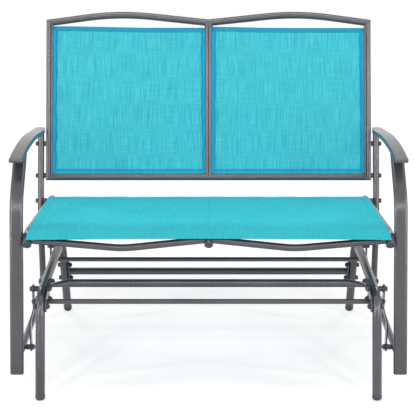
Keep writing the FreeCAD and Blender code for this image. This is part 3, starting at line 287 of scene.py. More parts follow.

# %% [markdown]
# ## The mesh fabric
#
# The panels are woven from plastic coated yarn. Close up there is a basket weave of about a
# millimetre. From a step away the eye sees streaks: some yarns are lighter and some bluer, so
# long thin lines run up the cloth and shorter ones cross it. The yarns could be modelled one by
# one, but there are over a thousand, each about a millimetre wide, so the weave and the streaks
# are patterns in the material. They follow the cloth's own UV map, laid out in metres, and so
# turn with the fabric over the front of the seat. Where the cloth is folded double in a hem,
# less light comes through, and it looks bluer. Towards the front of the seat a painted shade
# darkens the cloth, deepest over the roll.

# %% Woven fabric
# WAVE_PITCH is the length after which a wave texture of scale 1 repeats.
YARN_PITCH = 1.25 * MM
WAVE_PITCH = math.pi / 10
WARP_CONTRAST = 0.60
WEFT_CONTRAST = 0.24
CLOUD_LEVEL = 0.93
HOLE_LEVEL = 0.45
HOLE_STRENGTH = 0.35
WEAVE_STRENGTH = 0.35
WEAVE_HEIGHT = 0.4 * MM
# Painted shade over the front of the seat: where it starts along the cloth, how long it takes to
# deepen, and how much brightness it leaves.
PAINTED_SHADE_REACH = 90 * MM
PAINTED_SHADE_LEVEL = 0.76
SEAT_PAINTED_SHADE_FROM = 360 * MM


def woven(name, deep, middle, pale, streak=1.0, painted_shade_from=None):
    """A fabric of three tones. Past painted_shade_from, along the cloth, a painted shade darkens
    it.
    """
    material, tree, shader = new_material(name)
    cloth = add_node(tree, "UVMap", {"uv_map": "cloth"}).outputs["UV"]

    def streaks(across, along, low, high):
        """Noise with so many changes per metre across the cloth and along it."""
        squeeze = add_node(tree, "Mapping", inputs={"Vector": cloth, "Scale": (across, along, 1)})
        lines = add_node(tree, "TexNoise", inputs={
            "Vector": squeeze.outputs["Vector"], "Scale": 1.0, "Detail": 3.0, "Roughness": 0.6,
        })
        return spread(tree, lines.outputs["Fac"], low, high)

    warp = streaks(380.0, 13.0, 0.36, 0.66)
    weft = streaks(14.0, 330.0, 0.40, 0.70)
    cloud = streaks(12.0, 8.0, 0.35, 0.65)
    base = blend_colours(tree, cloud, middle, [CLOUD_LEVEL * c for c in middle])
    up = add_node(tree, "Math", {"operation": "MULTIPLY"}, {0: warp, 1: WARP_CONTRAST * streak})
    over = add_node(tree, "Math", {"operation": "MULTIPLY"}, {0: weft, 1: WEFT_CONTRAST * streak})
    striped = blend_colours(tree, up.outputs["Value"], base, pale)
    crossed = blend_colours(tree, over.outputs["Value"], striped, deep)

    waves = []
    for direction in ("X", "Y"):
        wave = add_node(tree, "TexWave", {"wave_type": "BANDS", "bands_direction": direction}, {
            "Vector": cloth, "Scale": WAVE_PITCH / YARN_PITCH, "Distortion": 0.0,
        })
        waves.append(wave.outputs["Fac"])
    weave = add_node(tree, "Math", {"operation": "MULTIPLY"}, {0: waves[0], 1: waves[1]})
    # Painted shade: past a length along the cloth, its colour is darkened more and more over a
    # short stretch, then evenly.
    if painted_shade_from:
        along = add_node(tree, "SeparateXYZ", inputs={0: cloth}).outputs["Y"]
        level = spread(tree, along, painted_shade_from, painted_shade_from + PAINTED_SHADE_REACH, 1.0, PAINTED_SHADE_LEVEL)
        painted_shade_node = add_node(tree, "HueSaturation", inputs={"Value": level, "Color": crossed})
        crossed = painted_shade_node.outputs["Color"]
    holes = spread(tree, weave.outputs["Value"], 0.0, 0.12, HOLE_STRENGTH, 0.0)
    tree.links.new(blend_colours(tree, holes, crossed, [HOLE_LEVEL * c for c in deep]),
                   shader.inputs["Base Color"])
    add_bump(tree, shader, weave.outputs["Value"], WEAVE_STRENGTH, WEAVE_HEIGHT)
    shader.inputs["Roughness"].default_value = 0.70
    shader.inputs["Specular IOR Level"].default_value = 0.12
    return material


# %% Mix the fabrics
# The back panels take a darker copy of the seat's cloth, a painted shade: the lamps light their
# upright faces more than the seat's.
back_fabric_painted_shade = woven("back_fabric_painted_shade", (0.016, 0.300, 0.395), (0.040, 0.465, 0.560),
                    (0.115, 0.690, 0.780), streak=1.3)
# The seat's top and side hems darken towards the front with a painted shade.
seat_fabric = woven("seat_fabric", (0.024, 0.410, 0.515), (0.041, 0.590, 0.690),
                    (0.097, 0.810, 0.890), streak=0.6, painted_shade_from=SEAT_PAINTED_SHADE_FROM)
seat_side = woven("seat_side_fabric", (0.030, 0.450, 0.600), (0.040, 0.570, 0.690),
                  (0.080, 0.730, 0.820), streak=0.8, painted_shade_from=SEAT_PAINTED_SHADE_FROM)
# Painted highlight: the front hem's own copy of the seat cloth, deeper than the seat's top but
# lighter than the painted shade on the nose beside it.
seat_front_painted_highlight = woven("seat_front_fabric_painted_highlight", (0.014, 0.390, 0.500), (0.021, 0.490, 0.590),
                   (0.048, 0.630, 0.700), streak=0.8)
hem_strip = woven("hem_fabric_strip", (0.017, 0.350, 0.515), (0.025, 0.440, 0.590),
                  (0.050, 0.580, 0.680), streak=0.8)
hem_top = woven("hem_fabric_top", (0.011, 0.225, 0.380), (0.016, 0.300, 0.460),
                (0.036, 0.400, 0.550), streak=1.1)
# Painted highlight: a lighter copy of the hem fabric, for the half of each side hem next to the
# stile.
hem_painted_highlight = woven("hem_fabric_painted_highlight", (0.013, 0.320, 0.620), (0.018, 0.430, 0.750),
                   (0.034, 0.550, 0.840), streak=0.9)
hem_deep = woven("hem_fabric_deep", (0.008, 0.235, 0.440), (0.014, 0.315, 0.540),
                 (0.030, 0.420, 0.640), streak=1.1)

# %% [markdown]
# ## Laying out cloth
#
# A grid is the natural start for a panel: its rows and columns follow the yarns. Each point of
# the grid is first given its place on the flat cloth, then its place in the air. The hems are
# bands of the same grid, with the faces between them taken away, and lie over the panel as the
# folded edge does. A Solidify modifier gives panel and hem their thickness.


# %% Cloth helpers
def grid_between(stops, counts):
    """Values that step evenly between stops, with so many steps in each stretch."""
    values = [stops[0]]
    for low, high, count in zip(stops, stops[1:], counts):
        values += [low + (high - low) * (i + 1) / count for i in range(count)]
    return values


def lay_cloth(column_count, row_count, place, paint=None):
    """A grid whose points go where place says, and whose faces take the finish that paint says.

    The grid starts a metre wide and long, so that a point's place gives its column and row.
    """
    bm = bmesh.new()
    bmesh.ops.create_grid(bm, x_segments=column_count, y_segments=row_count, size=0.5)
    uv = bm.loops.layers.uv.new("cloth")
    spots = {}
    for vertex in bm.verts:
        i = round((vertex.co.x + 0.5) * column_count)
        j = round((vertex.co.y + 0.5) * row_count)
        spots[vertex] = (i, j)
    for vertex, (i, j) in spots.items():
        flat, vertex.co = place(i, j)
        for loop in vertex.link_loops:
            loop[uv].uv = flat
    bare = []
    for face in bm.faces if paint else ():
        finish = paint(min(spots[v][0] for v in face.verts), min(spots[v][1] for v in face.verts))
        if finish is None:
            bare.append(face)
        else:
            face.material_index = finish
    bmesh.ops.delete(bm, geom=bare, context="FACES")
    return bm


def thicken(piece, thickness, rounding=0.0):
    """Give cloth its thickness, half to each side, and round its edges where that is asked."""
    thick = piece.modifiers.new("thickness", "SOLIDIFY")
    thick.thickness = thickness
    thick.offset = 0
    if rounding:
        soft = piece.modifiers.new("soft_edge", "BEVEL")
        soft.width = rounding
        soft.segments = 2
        soft.limit_method = "ANGLE"


# %% [markdown]
# ## Stitches
#
# Every hem is held by a row of lockstitches. Each stitch is one short length of thread that
# dives into the cloth at both ends. A thread could follow the whole row as a curve, but only
# the short arches show, so a small stretched ball, half sunk in the cloth, is enough. There are
# over a thousand of them, so each has only a few faces.

# %% Sew a row of stitches
STITCH_PITCH = 5.5 * MM
STITCH_LENGTH = 3.9 * MM
STITCH_WIDTH = 0.9 * MM


def make_stitch():
    bm = bmesh.new()
    size = Matrix.Diagonal((STITCH_LENGTH / 2, STITCH_WIDTH / 2, STITCH_WIDTH / 2, 1))
    bmesh.ops.create_uvsphere(bm, u_segments=6, v_segments=4, radius=1, matrix=size)
    return mesh_from(bm, "stitch")


stitch = make_stitch()
print("a stitch has", len(stitch.polygons), "faces")


def sew(bm, path, length, facing):
    """Stitches along a path of so many metres. The path is a function of the length along it."""
    count = max(1, int(length / STITCH_PITCH))
    for k in range(count):
        s = length * (k + 0.5) / count
        middle = path(s)
        along = (path(s + STITCH_LENGTH / 2) - path(s - STITCH_LENGTH / 2)).normalized()
        out = facing(s).normalized()
        across = out.cross(along).normalized()
        turn = Matrix((along, across, out)).transposed()
        bm.from_mesh(stitch)
        bm.verts.ensure_lookup_table()
        for vertex in bm.verts[-len(stitch.vertices):]:
            vertex.co = middle + turn @ vertex.co
    return count


# %% [markdown]
# ## The back panels
#
# Each back panel is a rectangle of fabric. Its sides are held in the slots of the stiles, its
# lower edge stops at the bottom rail, and its upper edge hangs free a little under the humped
# top rail. The side hems are widest at the top, and in each of them the half next to the stile
# is stretched flat and carries a painted highlight: it is painted lighter than the half next to
# the seam. A cloth simulation could find the shape, but cloth as tight as this is a plane with
# small puckers, so its points are placed by a few formulas.

# %% Measure the back panels
CLOTH_THICKNESS = 1.2 * MM
HEM_THICKNESS = 2.3 * MM
SLOT_DEPTH = 4.8 * MM
HEM_SIDE_TOP = 14.5 * MM
HEM_SIDE_FOOT = 10.5 * MM
HEM_TOP = 14.6 * MM
HEM_FOOT = 15 * MM
HEM_FOOT_STRIP = 6 * MM
PANEL_GAP = 0.2 * MM
PANEL_HEIGHT = 462.5 * MM
PANEL_TOP = {-1: ((0.0, 462.7), (0.4, 462.5), (0.92, 467.0), (1.0, 466.8)),
             1: ((0.0, 465.2), (0.12, 464.7), (0.33, 462.5), (0.6, 461.9), (1.0, 461.8))}
INNER_HEM = 0.4
OUTER_HEM = 2.1
PANEL_COLUMNS = 44
PANEL_ROWS = 46
HEM_LINES = 2

panel_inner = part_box("back_middle_stile")[1].x - SLOT_DEPTH
panel_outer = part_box("back_stile_right")[0].x + SLOT_DEPTH
panel_foot = BOTTOM_RAIL_HEIGHT + PANEL_GAP
panel_width = panel_outer - panel_inner
print("panel from", round(panel_inner, 4), "to", round(panel_outer, 4))


def panel_top(across, side):
    """Height of a panel's free edge at a share of its width, counted from the bench's middle.

    PANEL_TOP marks it in millimetres. The left panel's edge rises outwards and the right one's
    inwards.
    """
    marks = PANEL_TOP[side]
    for (near, low), (far, high) in zip(marks, marks[1:]):
        if across <= far or far == 1.0:
            share = min(1.0, (across - near) / (far - near))
            return (low + (high - low) * share) * MM


# %% [markdown]
# The cloth is not perfectly flat. The stitches draw the side hems in, so their inner edges run
# in shallow waves, and small puckers fade out into the panel. Both come from the same sine
# waves, with a little smooth noise on top so that no two puckers are alike.

# %% Shape a back panel
PUCKER_LENGTH = 62 * MM
PUCKER_HEIGHT = 0.9 * MM
PUCKER_REACH = 35 * MM
SCALLOP = 0.9 * MM
SCALLOPS_PER_METRE = 14
SOFT_WAVE = 1.6 * MM
SOFT_WAVES_PER_METRE = 9


def pucker(x, v, side):
    """How far the cloth stands off its plane. At the stiles it is held flat."""
    near_side = min(x - panel_inner, panel_outer - x)
    fade = math.exp(-max(0.0, near_side - SLOT_DEPTH) / PUCKER_REACH)
    wave = math.sin(2 * math.pi * v / PUCKER_LENGTH + 3 * side)
    soft = noise.noise(Vector((x * SOFT_WAVES_PER_METRE, v * SOFT_WAVES_PER_METRE, side * 5)))
    held = min(1.0, near_side / (2 * SLOT_DEPTH))
    return held * (PUCKER_HEIGHT * fade * wave + SOFT_WAVE * soft * (1 - fade))


def hem_width(v, which, side):
    """Width of a panel's inner or outer hem, whose seam wanders in waves of its own."""
    start = which + side
    rise = (v - panel_foot) / (PANEL_HEIGHT - panel_foot)
    wave = math.sin(2 * math.pi * v / PUCKER_LENGTH + start)
    drift = noise.noise(Vector((v * SCALLOPS_PER_METRE, start, 0.3)))
    wander = SCALLOP * wave + 3 * SCALLOP * drift
    return SLOT_DEPTH + HEM_SIDE_FOOT + (HEM_SIDE_TOP - HEM_SIDE_FOOT) * rise + wander


# %% Find a point of a back panel
def stepped(k, count, first, last, low, high):
    """Place k of count lines: two in the first hem, the rest between, two in the last hem."""
    inner_low = low + first[-1]
    inner_high = high - last[-1]
    if k <= HEM_LINES:
        return low + (0, *first)[k]
    if k >= count - HEM_LINES:
        return high - (0, *last)[count - k]
    share = (k - HEM_LINES) / (count - 2 * HEM_LINES)
    return inner_low + (inner_high - inner_low) * share


def back_point(x, v, side):
    spot = back_foot + back_up * v + back_out * pucker(x, v, side)
    return Vector((side * x, spot.y, spot.z))


def place_on_back(side):
    columns = PANEL_COLUMNS + 2 * HEM_LINES
    rows = PANEL_ROWS + 2 * HEM_LINES

    def place(i, j):
        across = min(1.0, max(0.0, (i - HEM_LINES) / PANEL_COLUMNS))
        top = panel_top(across, side)
        v = stepped(j, rows, (HEM_FOOT_STRIP, HEM_FOOT), (HEM_TOP / 2, HEM_TOP), panel_foot, top)
        near = hem_width(v, INNER_HEM, side)
        far = hem_width(v, OUTER_HEM, side)
        x = stepped(i, columns, ((near + SLOT_DEPTH) / 2, near), ((far + SLOT_DEPTH) / 2, far),
                    panel_inner, panel_outer)
        return (side * x, v), back_point(x, v, side)

    return columns, rows, place


# %% Choose the finish of each part of a hem
STRIP, TOP, PAINTED_HIGHLIGHT, DEEP = range(4)


def paint_back_hem(columns, rows):
    """Which finish each face of the hems takes. The face is named by its column and row."""
    def paint(i, j):
        if j == 0:
            return STRIP
        if j >= rows - HEM_LINES:
            return TOP
        # Painted highlight: the outer face of each side hem, next to the stile, takes the lighter
        # hem fabric.
        if i in (0, columns - 1):
            return PAINTED_HIGHLIGHT
        if j == 1 or i in (1, columns - 2):
            return DEEP
        return None
    return paint


# %% Sew the hems of a back panel
SEAM_INSET = 2 * MM


def sew_back_panel(bm, side):
    low = panel_foot + HEM_FOOT - SEAM_INSET
    high = PANEL_HEIGHT - HEM_TOP + SEAM_INSET
    lift = back_out * HEM_THICKNESS / 2
    count = 0
    for inner in (True, False):
        def upward(s, inner=inner):
            v = low + s
            if inner:
                x = panel_inner + hem_width(v, INNER_HEM, side) - SEAM_INSET
            else:
                x = panel_outer - hem_width(v, OUTER_HEM, side) + SEAM_INSET
            return back_point(x, v, side) + lift
        count += sew(bm, upward, high - low, lambda s: back_out)
    left = panel_inner + SLOT_DEPTH + HEM_SIDE_TOP
    right = panel_outer - SLOT_DEPTH - HEM_SIDE_TOP
    for at_top in (True, False):
        def across(s, at_top=at_top):
            x = left + s
            top = panel_top((x - panel_inner) / panel_width, side) - HEM_TOP + SEAM_INSET
            return back_point(x, top if at_top else low, side) + lift
        count += sew(bm, across, right - left, lambda s: back_out)
    return count


# %% Make both back panels
HEM_ROUNDING = 0.5 * MM


def make_back_panel(place_name, side):
    name = "back_panel_" + place_name
    columns, rows, place = place_on_back(side)
    panel = make_piece(name, lay_cloth(columns, rows, place), "seat",
                       [back_fabric_painted_shade])
    thicken(panel, CLOTH_THICKNESS)
    bm = lay_cloth(columns, rows, place, paint_back_hem(columns, rows))
    bmesh.ops.subdivide_edges(bm, edges=bm.edges, cuts=1, use_grid_fill=True)
    hem = make_piece(name + "_hem", bm, "seat",
                     [hem_strip, hem_top, hem_painted_highlight, hem_deep])
    thicken(hem, HEM_THICKNESS, HEM_ROUNDING)
    bm = bmesh.new()
    print("stitches", sew_back_panel(bm, side))
    stitches = make_piece(name + "_stitches", bm, "seat", [thread])
    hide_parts("back_sling_" + place_name)


make_back_panel("right", 1)
make_back_panel("left", -1)

# %% [markdown]
# ## The seat panel
#
# One wide piece of fabric covers the seat. It lies over the tops of the two side rails and the
# middle rail, and rolls over their curved noses at the front, where it ends in a hem. The side
# view is therefore a straight run and an arc. The grid's rows follow that path by length, so
# the weave keeps its scale round the bend. At the rear the cloth is sewn into a sleeve that
# wraps the rear rail between the side rails.

# %% Measure the seat panel
SEAT_THICKNESS = 1.6 * MM
RAIL_RADIUS = 12.5 * MM
RAIL_GAP = 0.3 * MM
NOSE_RADIUS = 106 * MM
NOSE_FALL = math.radians(31)
NOSE_FROM_BOLT = 471.0 * MM
SEAT_REAR_MARGIN = 17.5 * MM
SEAT_SAG = 2.5 * MM
SEAT_RIPPLE = 0.8 * MM
EDGE_REAR = 478.8 * MM
EDGE_KINK = 471.6 * MM
EDGE_HEM = 475.6 * MM
HEM_RISE = 4.0 * MM
HEM_OVERRUN = 2.2 * MM

rail_x = middle_of("seat_side_rail_right").x
cloth_lift = RAIL_RADIUS + RAIL_GAP + SEAT_THICKNESS / 2
nose_turn = SEAT_SLOPE + NOSE_FALL
bend_reach = NOSE_RADIUS * math.tan(nose_turn / 2)
bend_start = rear_bolt + seat_run * (NOSE_FROM_BOLT - bend_reach)
bend_centre = bend_start - seat_up * NOSE_RADIUS
rear_edge = rear_bolt + seat_run * SEAT_REAR_MARGIN
run_length = (bend_start - rear_edge).length
roll_radius = NOSE_RADIUS + cloth_lift
roll_length = roll_radius * nose_turn + HEM_OVERRUN
seat_length = run_length + roll_length
print("seat panel: run", round(run_length, 4), "roll", round(roll_length, 4))


def seat_path(s):
    """A point on the seat's path at a length from its rear edge, and the way off the rails."""
    if s < run_length:
        return rear_edge + seat_run * s + seat_up * cloth_lift, seat_up
    out = Matrix.Rotation((s - run_length) / roll_radius, 3, "X") @ seat_up
    return bend_centre + out * roll_radius, out


# %% [markdown]
# Between the rails the cloth sags a little, and along each seam the thread pulls it down into a
# shallow groove. The hem at the front is a thick rolled edge that catches the light, and a
# painted highlight in its fabric adds to it.

# %% Shape the seat panel
HEM_SIDE = 22 * MM
HEM_REAR = 20 * MM
HEM_FRONT = 8.5 * MM
GROOVE_DEPTH = 0.9 * MM
GROOVE_WIDTH = 2.6 * MM
ROLL_HEIGHT = 1.1 * MM
SEAT_RIPPLES_PER_METRE = 8
CENTRE_SEAMS = (0.0, 8.6 * MM)


def edge_reach(s):
    """How far across the cloth reaches from the middle."""
    if s < run_length:
        return EDGE_REAR + (EDGE_KINK - EDGE_REAR) * s / run_length
    return EDGE_KINK + (EDGE_HEM - EDGE_KINK) * (s - run_length) / roll_length


def groove(distance):
    return math.exp(-(distance / GROOVE_WIDTH) ** 2)


def seat_point(w, s, height=0.0):
    """A point of the seat cloth, w across it and s along it, and the way that it faces."""
    spot, out = seat_path(s)
    bay = math.sin(math.pi * min(1.0, abs(w) / rail_x))
    fore = min(1.0, max(0.0, (seat_length - s) / (2 * roll_length)))
    drop = SEAT_SAG * bay * bay * fore
    ripple = noise.noise(Vector((w * SEAT_RIPPLES_PER_METRE, s * SEAT_RIPPLES_PER_METRE, 1.7)))
    drop += SEAT_RIPPLE * bay * ripple
    seams = [edge_reach(s) - abs(w) - HEM_SIDE, seat_length - s - HEM_FRONT, s - HEM_REAR]
    seams += [w - seam for seam in CENTRE_SEAMS]
    drop += GROOVE_DEPTH * max(groove(distance) for distance in seams)
    to_edge = seat_length - s
    if to_edge < HEM_FRONT:
        height += ROLL_HEIGHT * math.sin(math.pi * to_edge / HEM_FRONT)
    return Vector((w, spot.y, spot.z)) + out * (height - drop), out


def seat_length_at(share):
    """Length of the cloth at a share of the way out, as its front edge rises at the middle."""
    return seat_length - HEM_RISE * (1 - share * share)


# %% Lay out the seat's grid
SEAT_COLUMNS = (4, 6, 54, 2, 3, 2, 54, 6, 4)
SEAT_ROWS = (4, 4, 44, 12, 3, 4)
LIFT_POWER = 12


def seat_columns():
    """Places from -1 to 1 across the seat, closer together over the seams.

    SEAT_COLUMNS and SEAT_ROWS say how many steps lie between one stop and the next.
    """
    hem = HEM_SIDE / EDGE_KINK
    near = 2 * GROOVE_WIDTH / EDGE_KINK
    seam = CENTRE_SEAMS[1] / EDGE_KINK
    stops = [-1, -1 + hem - near, -1 + hem + near, -near, near, seam - near / 3, seam + near,
             1 - hem - near, 1 - hem + near, 1]
    return grid_between(stops, SEAT_COLUMNS)


def seat_rows():
    """Places from 0 to 1 along the seat, closer together over the seams and the front roll."""
    front = seat_length - HEM_FRONT
    stops = [0, HEM_REAR - 2 * GROOVE_WIDTH, HEM_REAR + 2 * GROOVE_WIDTH, run_length,
             front - GROOVE_WIDTH, front + GROOVE_WIDTH, seat_length]
    return [stop / seat_length for stop in grid_between(stops, SEAT_ROWS)]


columns = seat_columns()
rows = seat_rows()


def place_on_seat(i, j):
    """A point of the grid. Only the last rows of the bend lift into the front roll."""
    bend = max(0.0, (rows[j] * seat_length - run_length) / roll_length)
    s = rows[j] * seat_length - (seat_length - seat_length_at(columns[i])) * bend
    w = edge_reach(s) * columns[i]
    height = ROLL_HEIGHT * bend ** LIFT_POWER
    return (w, s), seat_point(w, s, height)[0]


print("seat grid", len(columns) - 1, "by", len(rows) - 1)

# %% [markdown]
# The rear sleeve is the same cloth turned round the rear rail, so its grid starts on the seat
# and then follows an arc round the rail to a seam underneath it.

# %% Shape the rear sleeve
SLEEVE_REACH = math.radians(176)
SLEEVE_LAP = HEM_REAR
SLEEVE_STEPS = 20
SLEEVE_COLUMNS = 92
SLEEVE_GAP = 1 * MM
SLEEVE_RIPPLES_PER_METRE = (20, 30)
SLEEVE_LIFT = 0.6 * SEAT_THICKNESS

rear_rail = middle_of("seat_rear_rail")
sleeve_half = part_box("seat_side_rail_right")[0].x - SLEEVE_GAP
sleeve_radius = (rear_edge + seat_up * cloth_lift - rear_rail).length
sleeve_length = SLEEVE_LAP + sleeve_radius * SLEEVE_REACH
print("sleeve of", round(sleeve_length, 4), "round the rear rail")


def place_on_sleeve(i, j):
    w = sleeve_half * (2 * i / SLEEVE_COLUMNS - 1)
    s = sleeve_length * j / SLEEVE_STEPS
    if s < SLEEVE_LAP:
        spot, out = seat_point(w, SLEEVE_LAP - s)
        return (w, SLEEVE_LAP - s), spot + out * SLEEVE_LIFT
    out = Matrix.Rotation(-(s - SLEEVE_LAP) / sleeve_radius, 3, "X") @ seat_up
    across, along = SLEEVE_RIPPLES_PER_METRE
    wave = SEAT_RIPPLE * noise.noise(Vector((w * across, s * along, 4.1)))
    spot = rear_rail + out * (sleeve_radius + SLEEVE_LIFT + wave)
    return (w, SLEEVE_LAP - s), Vector((w, spot.y, spot.z))


# %% [markdown]
# Six seams hold the seat: one up each side, two close together up the middle, one over the
# front hem, and one that joins the sleeve at the rear. Each is a path over the cloth, so the
# stitches lie wherever the cloth has gone.

# %% Sew the seams of the seat
SEAM_LIFT = 0.5 * SEAT_THICKNESS
REAR_SEAM_LIFT = 1.1 * SEAT_THICKNESS


def sew_seat(bm):
    count = 0
    for side in (-1, 1):
        def edge(s, side=side):
            spot, out = seat_point(side * (edge_reach(s) - HEM_SIDE), s)
            return spot + out * SEAM_LIFT
        count += sew(bm, edge, seat_length - HEM_FRONT, lambda s: seat_point(0, s)[1])
    for seam in CENTRE_SEAMS:
        def up(s, seam=seam):
            spot, out = seat_point(seam, s)
            return spot + out * SEAM_LIFT
        count += sew(bm, up, seat_length - HEM_RISE - HEM_FRONT, lambda s: seat_point(0, s)[1])
    for front in (True, False):
        half = EDGE_KINK - HEM_SIDE

        def across(x, front=front):
            w = x - half
            share = w / EDGE_HEM
            s = seat_length_at(share) - HEM_FRONT if front else HEM_REAR
            spot, out = seat_point(w, s)
            return spot + out * (SEAM_LIFT if front else REAR_SEAM_LIFT)
        face = seat_path(seat_length - HEM_FRONT)[1] if front else seat_up
        count += sew(bm, across, 2 * half, lambda s, face=face: face)
    return count


# %% Make the seat panel and its sleeve
PLAIN, SIDE_HEM, FRONT_HEM_PAINTED_HIGHLIGHT = range(3)
SLEEVE_ROUNDING = 0.3 * MM


def paint_seat(i, j):
    # Painted highlight: the faces of the front hem take their own, lighter copy of the seat cloth.
    if j >= len(rows) - 1 - SEAT_ROWS[-1]:
        return FRONT_HEM_PAINTED_HIGHLIGHT
    if i < SEAT_COLUMNS[0] or i >= len(columns) - 1 - SEAT_COLUMNS[-1]:
        return SIDE_HEM
    return PLAIN


bm = lay_cloth(len(columns) - 1, len(rows) - 1, place_on_seat, paint_seat)
panel = make_piece("seat_panel", bm, "seat", [seat_fabric, seat_side, seat_front_painted_highlight])
thicken(panel, SEAT_THICKNESS)
sleeve = make_piece("seat_panel_sleeve", lay_cloth(SLEEVE_COLUMNS, SLEEVE_STEPS, place_on_sleeve),
                    "seat", [seat_fabric])
thicken(sleeve, CLOTH_THICKNESS, SLEEVE_ROUNDING)
bm = bmesh.new()
print("stitches", sew_seat(bm))
stitches = make_piece("seat_panel_stitches", bm, "seat", [thread])
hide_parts("seat_sling")

# %% [markdown]
# ## Bolts and nuts
#
# The drawing has each bolt as two plain cylinders and each nut as a plain hexagon. The real
# bolts have a hexagon head with its corners turned off, and a thread at the tip. A boolean cut
# could shape each one, but bolts and nuts are turned parts, and a profile spun round the bolt's
# own line gives them cleanly. The corners are then pulled in to the flats of a hexagon. The
# places come from the drawing's own solids: every loose part of a fastener node gives one bolt
# or nut.

# %% Find the loose parts of a node
SAME_PLACE = 0.01 * MM


def loose_parts(node):
    """Where each loose solid of a node lies along X, its middle, and the way its wide end faces."""
    bm = bmesh.new()
    bm.from_mesh(frame["nodes"][node].data)
    bmesh.ops.remove_doubles(bm, verts=bm.verts, dist=SAME_PLACE)
    seen = set()
    parts = []
    for start in bm.verts:
        if start in seen:
            continue
        seen.add(start)
        part = [start]
        for vertex in part:
            for edge in vertex.link_edges:
                other = edge.other_vert(vertex)
                if other not in seen:
                    seen.add(other)
                    part.append(other)
        lows = [min(v.co[k] for v in part) for k in range(3)]
        highs = [max(v.co[k] for v in part) for k in range(3)]
        middle = Vector((0, (lows[1] + highs[1]) / 2, (lows[2] + highs[2]) / 2))
        wide = max(part, key=lambda v: round((v.co.yz - middle.yz).length, 6)).co.x
        toward = 1 if wide > (lows[0] + highs[0]) / 2 else -1
        parts.append((lows[0], highs[0], middle, toward))
    bm.free()
    return parts


# %% Turn a profile round a line along X
TURNED_SIDES = 24


def turned(bm, profile, origin, toward, closed=False):
    """Spin a profile of (height, radius) points, with heights counted from origin along X."""
    points = [bm.verts.new(origin + Vector((toward * height, 0, radius)))
              for height, radius in profile]
    pairs = list(zip(points, points[1:]))
    if closed:
        pairs.append((points[-1], points[0]))
    edges = [bm.edges.new(pair) for pair in pairs]
    count = len(bm.verts) - len(points)
    bmesh.ops.spin(bm, geom=points + edges, cent=origin, axis=(1, 0, 0), angle=2 * math.pi,
                   steps=TURNED_SIDES, use_merge=True)
    bm.verts.ensure_lookup_table()
    return list(bm.verts)[count:]


# %% Make a turned head or nut a hexagon, and put it in place
def cut_flats(verts, origin, flat):
    """Pull all that stands out past a hexagon in to its flats."""
    sixth = math.pi / 3
    for vertex in verts:
        arm = vertex.co - origin
        radius = math.hypot(arm.y, arm.z)
        if radius > flat:
            angle = math.atan2(arm.z, arm.y) % sixth - sixth / 2
            pull = min(1.0, flat / math.cos(angle) / radius)
            vertex.co = origin + Vector((arm.x, arm.y * pull, arm.z * pull))


def put_in_place(node, bm, finish):
    """Turned fasteners take the place of a node of the drawing, on the body that carries it."""
    bmesh.ops.remove_doubles(bm, verts=bm.verts, dist=SAME_PLACE)
    body = frame["nodes"][node]["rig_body"]
    piece = make_piece(node + "_turned", bm, body, [finish], smooth=False)
    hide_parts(node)


# %% Make the bolts
DRAWN_HEAD_HEIGHT = 4.5 * MM
HEAD_HEIGHT = 6.2 * MM
HEAD_TOP_RADIUS = 5.2 * MM
HEAD_EDGE_RADIUS = 5.8 * MM
HEAD_EDGE_DROP = 0.3 * MM
HEAD_FLAT = 6.2 * MM
HEAD_CORNER = 7.1 * MM
HEAD_CORNER_DROP = 1.0 * MM
HEAD_CORNER_FOOT = 0.7 * MM
WASHER_HEIGHT = 0.6 * MM
WASHER_RADIUS = 6.1 * MM
SHANK_RADIUS = 4 * MM
ROOT_RADIUS = 3.45 * MM
TIP_RADIUS = 3.15 * MM
THREAD_PITCH = 1.25 * MM
THREAD_TURNS = 9


def bolt_profile(length):
    """Heights from the head's seat: the head above it, then the shank below it to its tip."""
    head = [(HEAD_HEIGHT, 0.0), (HEAD_HEIGHT, HEAD_TOP_RADIUS),
            (HEAD_HEIGHT - HEAD_EDGE_DROP, HEAD_EDGE_RADIUS),
            (HEAD_HEIGHT - HEAD_CORNER_DROP, HEAD_CORNER), (HEAD_CORNER_FOOT, HEAD_CORNER),
            (WASHER_HEIGHT, WASHER_RADIUS), (0.0, WASHER_RADIUS), (0.0, SHANK_RADIUS)]
    shank = []
    start = -(length - (THREAD_TURNS + 0.5) * THREAD_PITCH)
    for k in range(THREAD_TURNS):
        shank.append((start - k * THREAD_PITCH, SHANK_RADIUS))
        shank.append((start - (k + 0.5) * THREAD_PITCH, ROOT_RADIUS))
    tip = [(-length, TIP_RADIUS), (-length, 0.0)]
    return head + shank + tip


def make_bolts(node):
    bm = bmesh.new()
    for low, high, middle, toward in loose_parts(node):
        head_end = high if toward > 0 else low
        seat = middle + Vector((head_end - toward * DRAWN_HEAD_HEIGHT, 0, 0))
        made = turned(bm, bolt_profile(high - low - DRAWN_HEAD_HEIGHT), seat, toward)
        cut_flats(made, seat, HEAD_FLAT)
    put_in_place(node, bm, dark_zinc)


for node in ("back_bolts", "seat_bolts", "cross_bar_bolts", "upper_pivot_bolts",
             "lower_pivot_bolts"):
    make_bolts(node)

# %% [markdown]
# The nuts of the cross bars are dome nuts, whose round caps hide the ends of the bolts. The
# pivots, the tie rods and the seat have lock nuts: a hexagon, and a round collar that holds a
# nylon ring. The corners of every hexagon are turned off at both ends. Each kind of nut is one
# profile, turned as the bolts are.

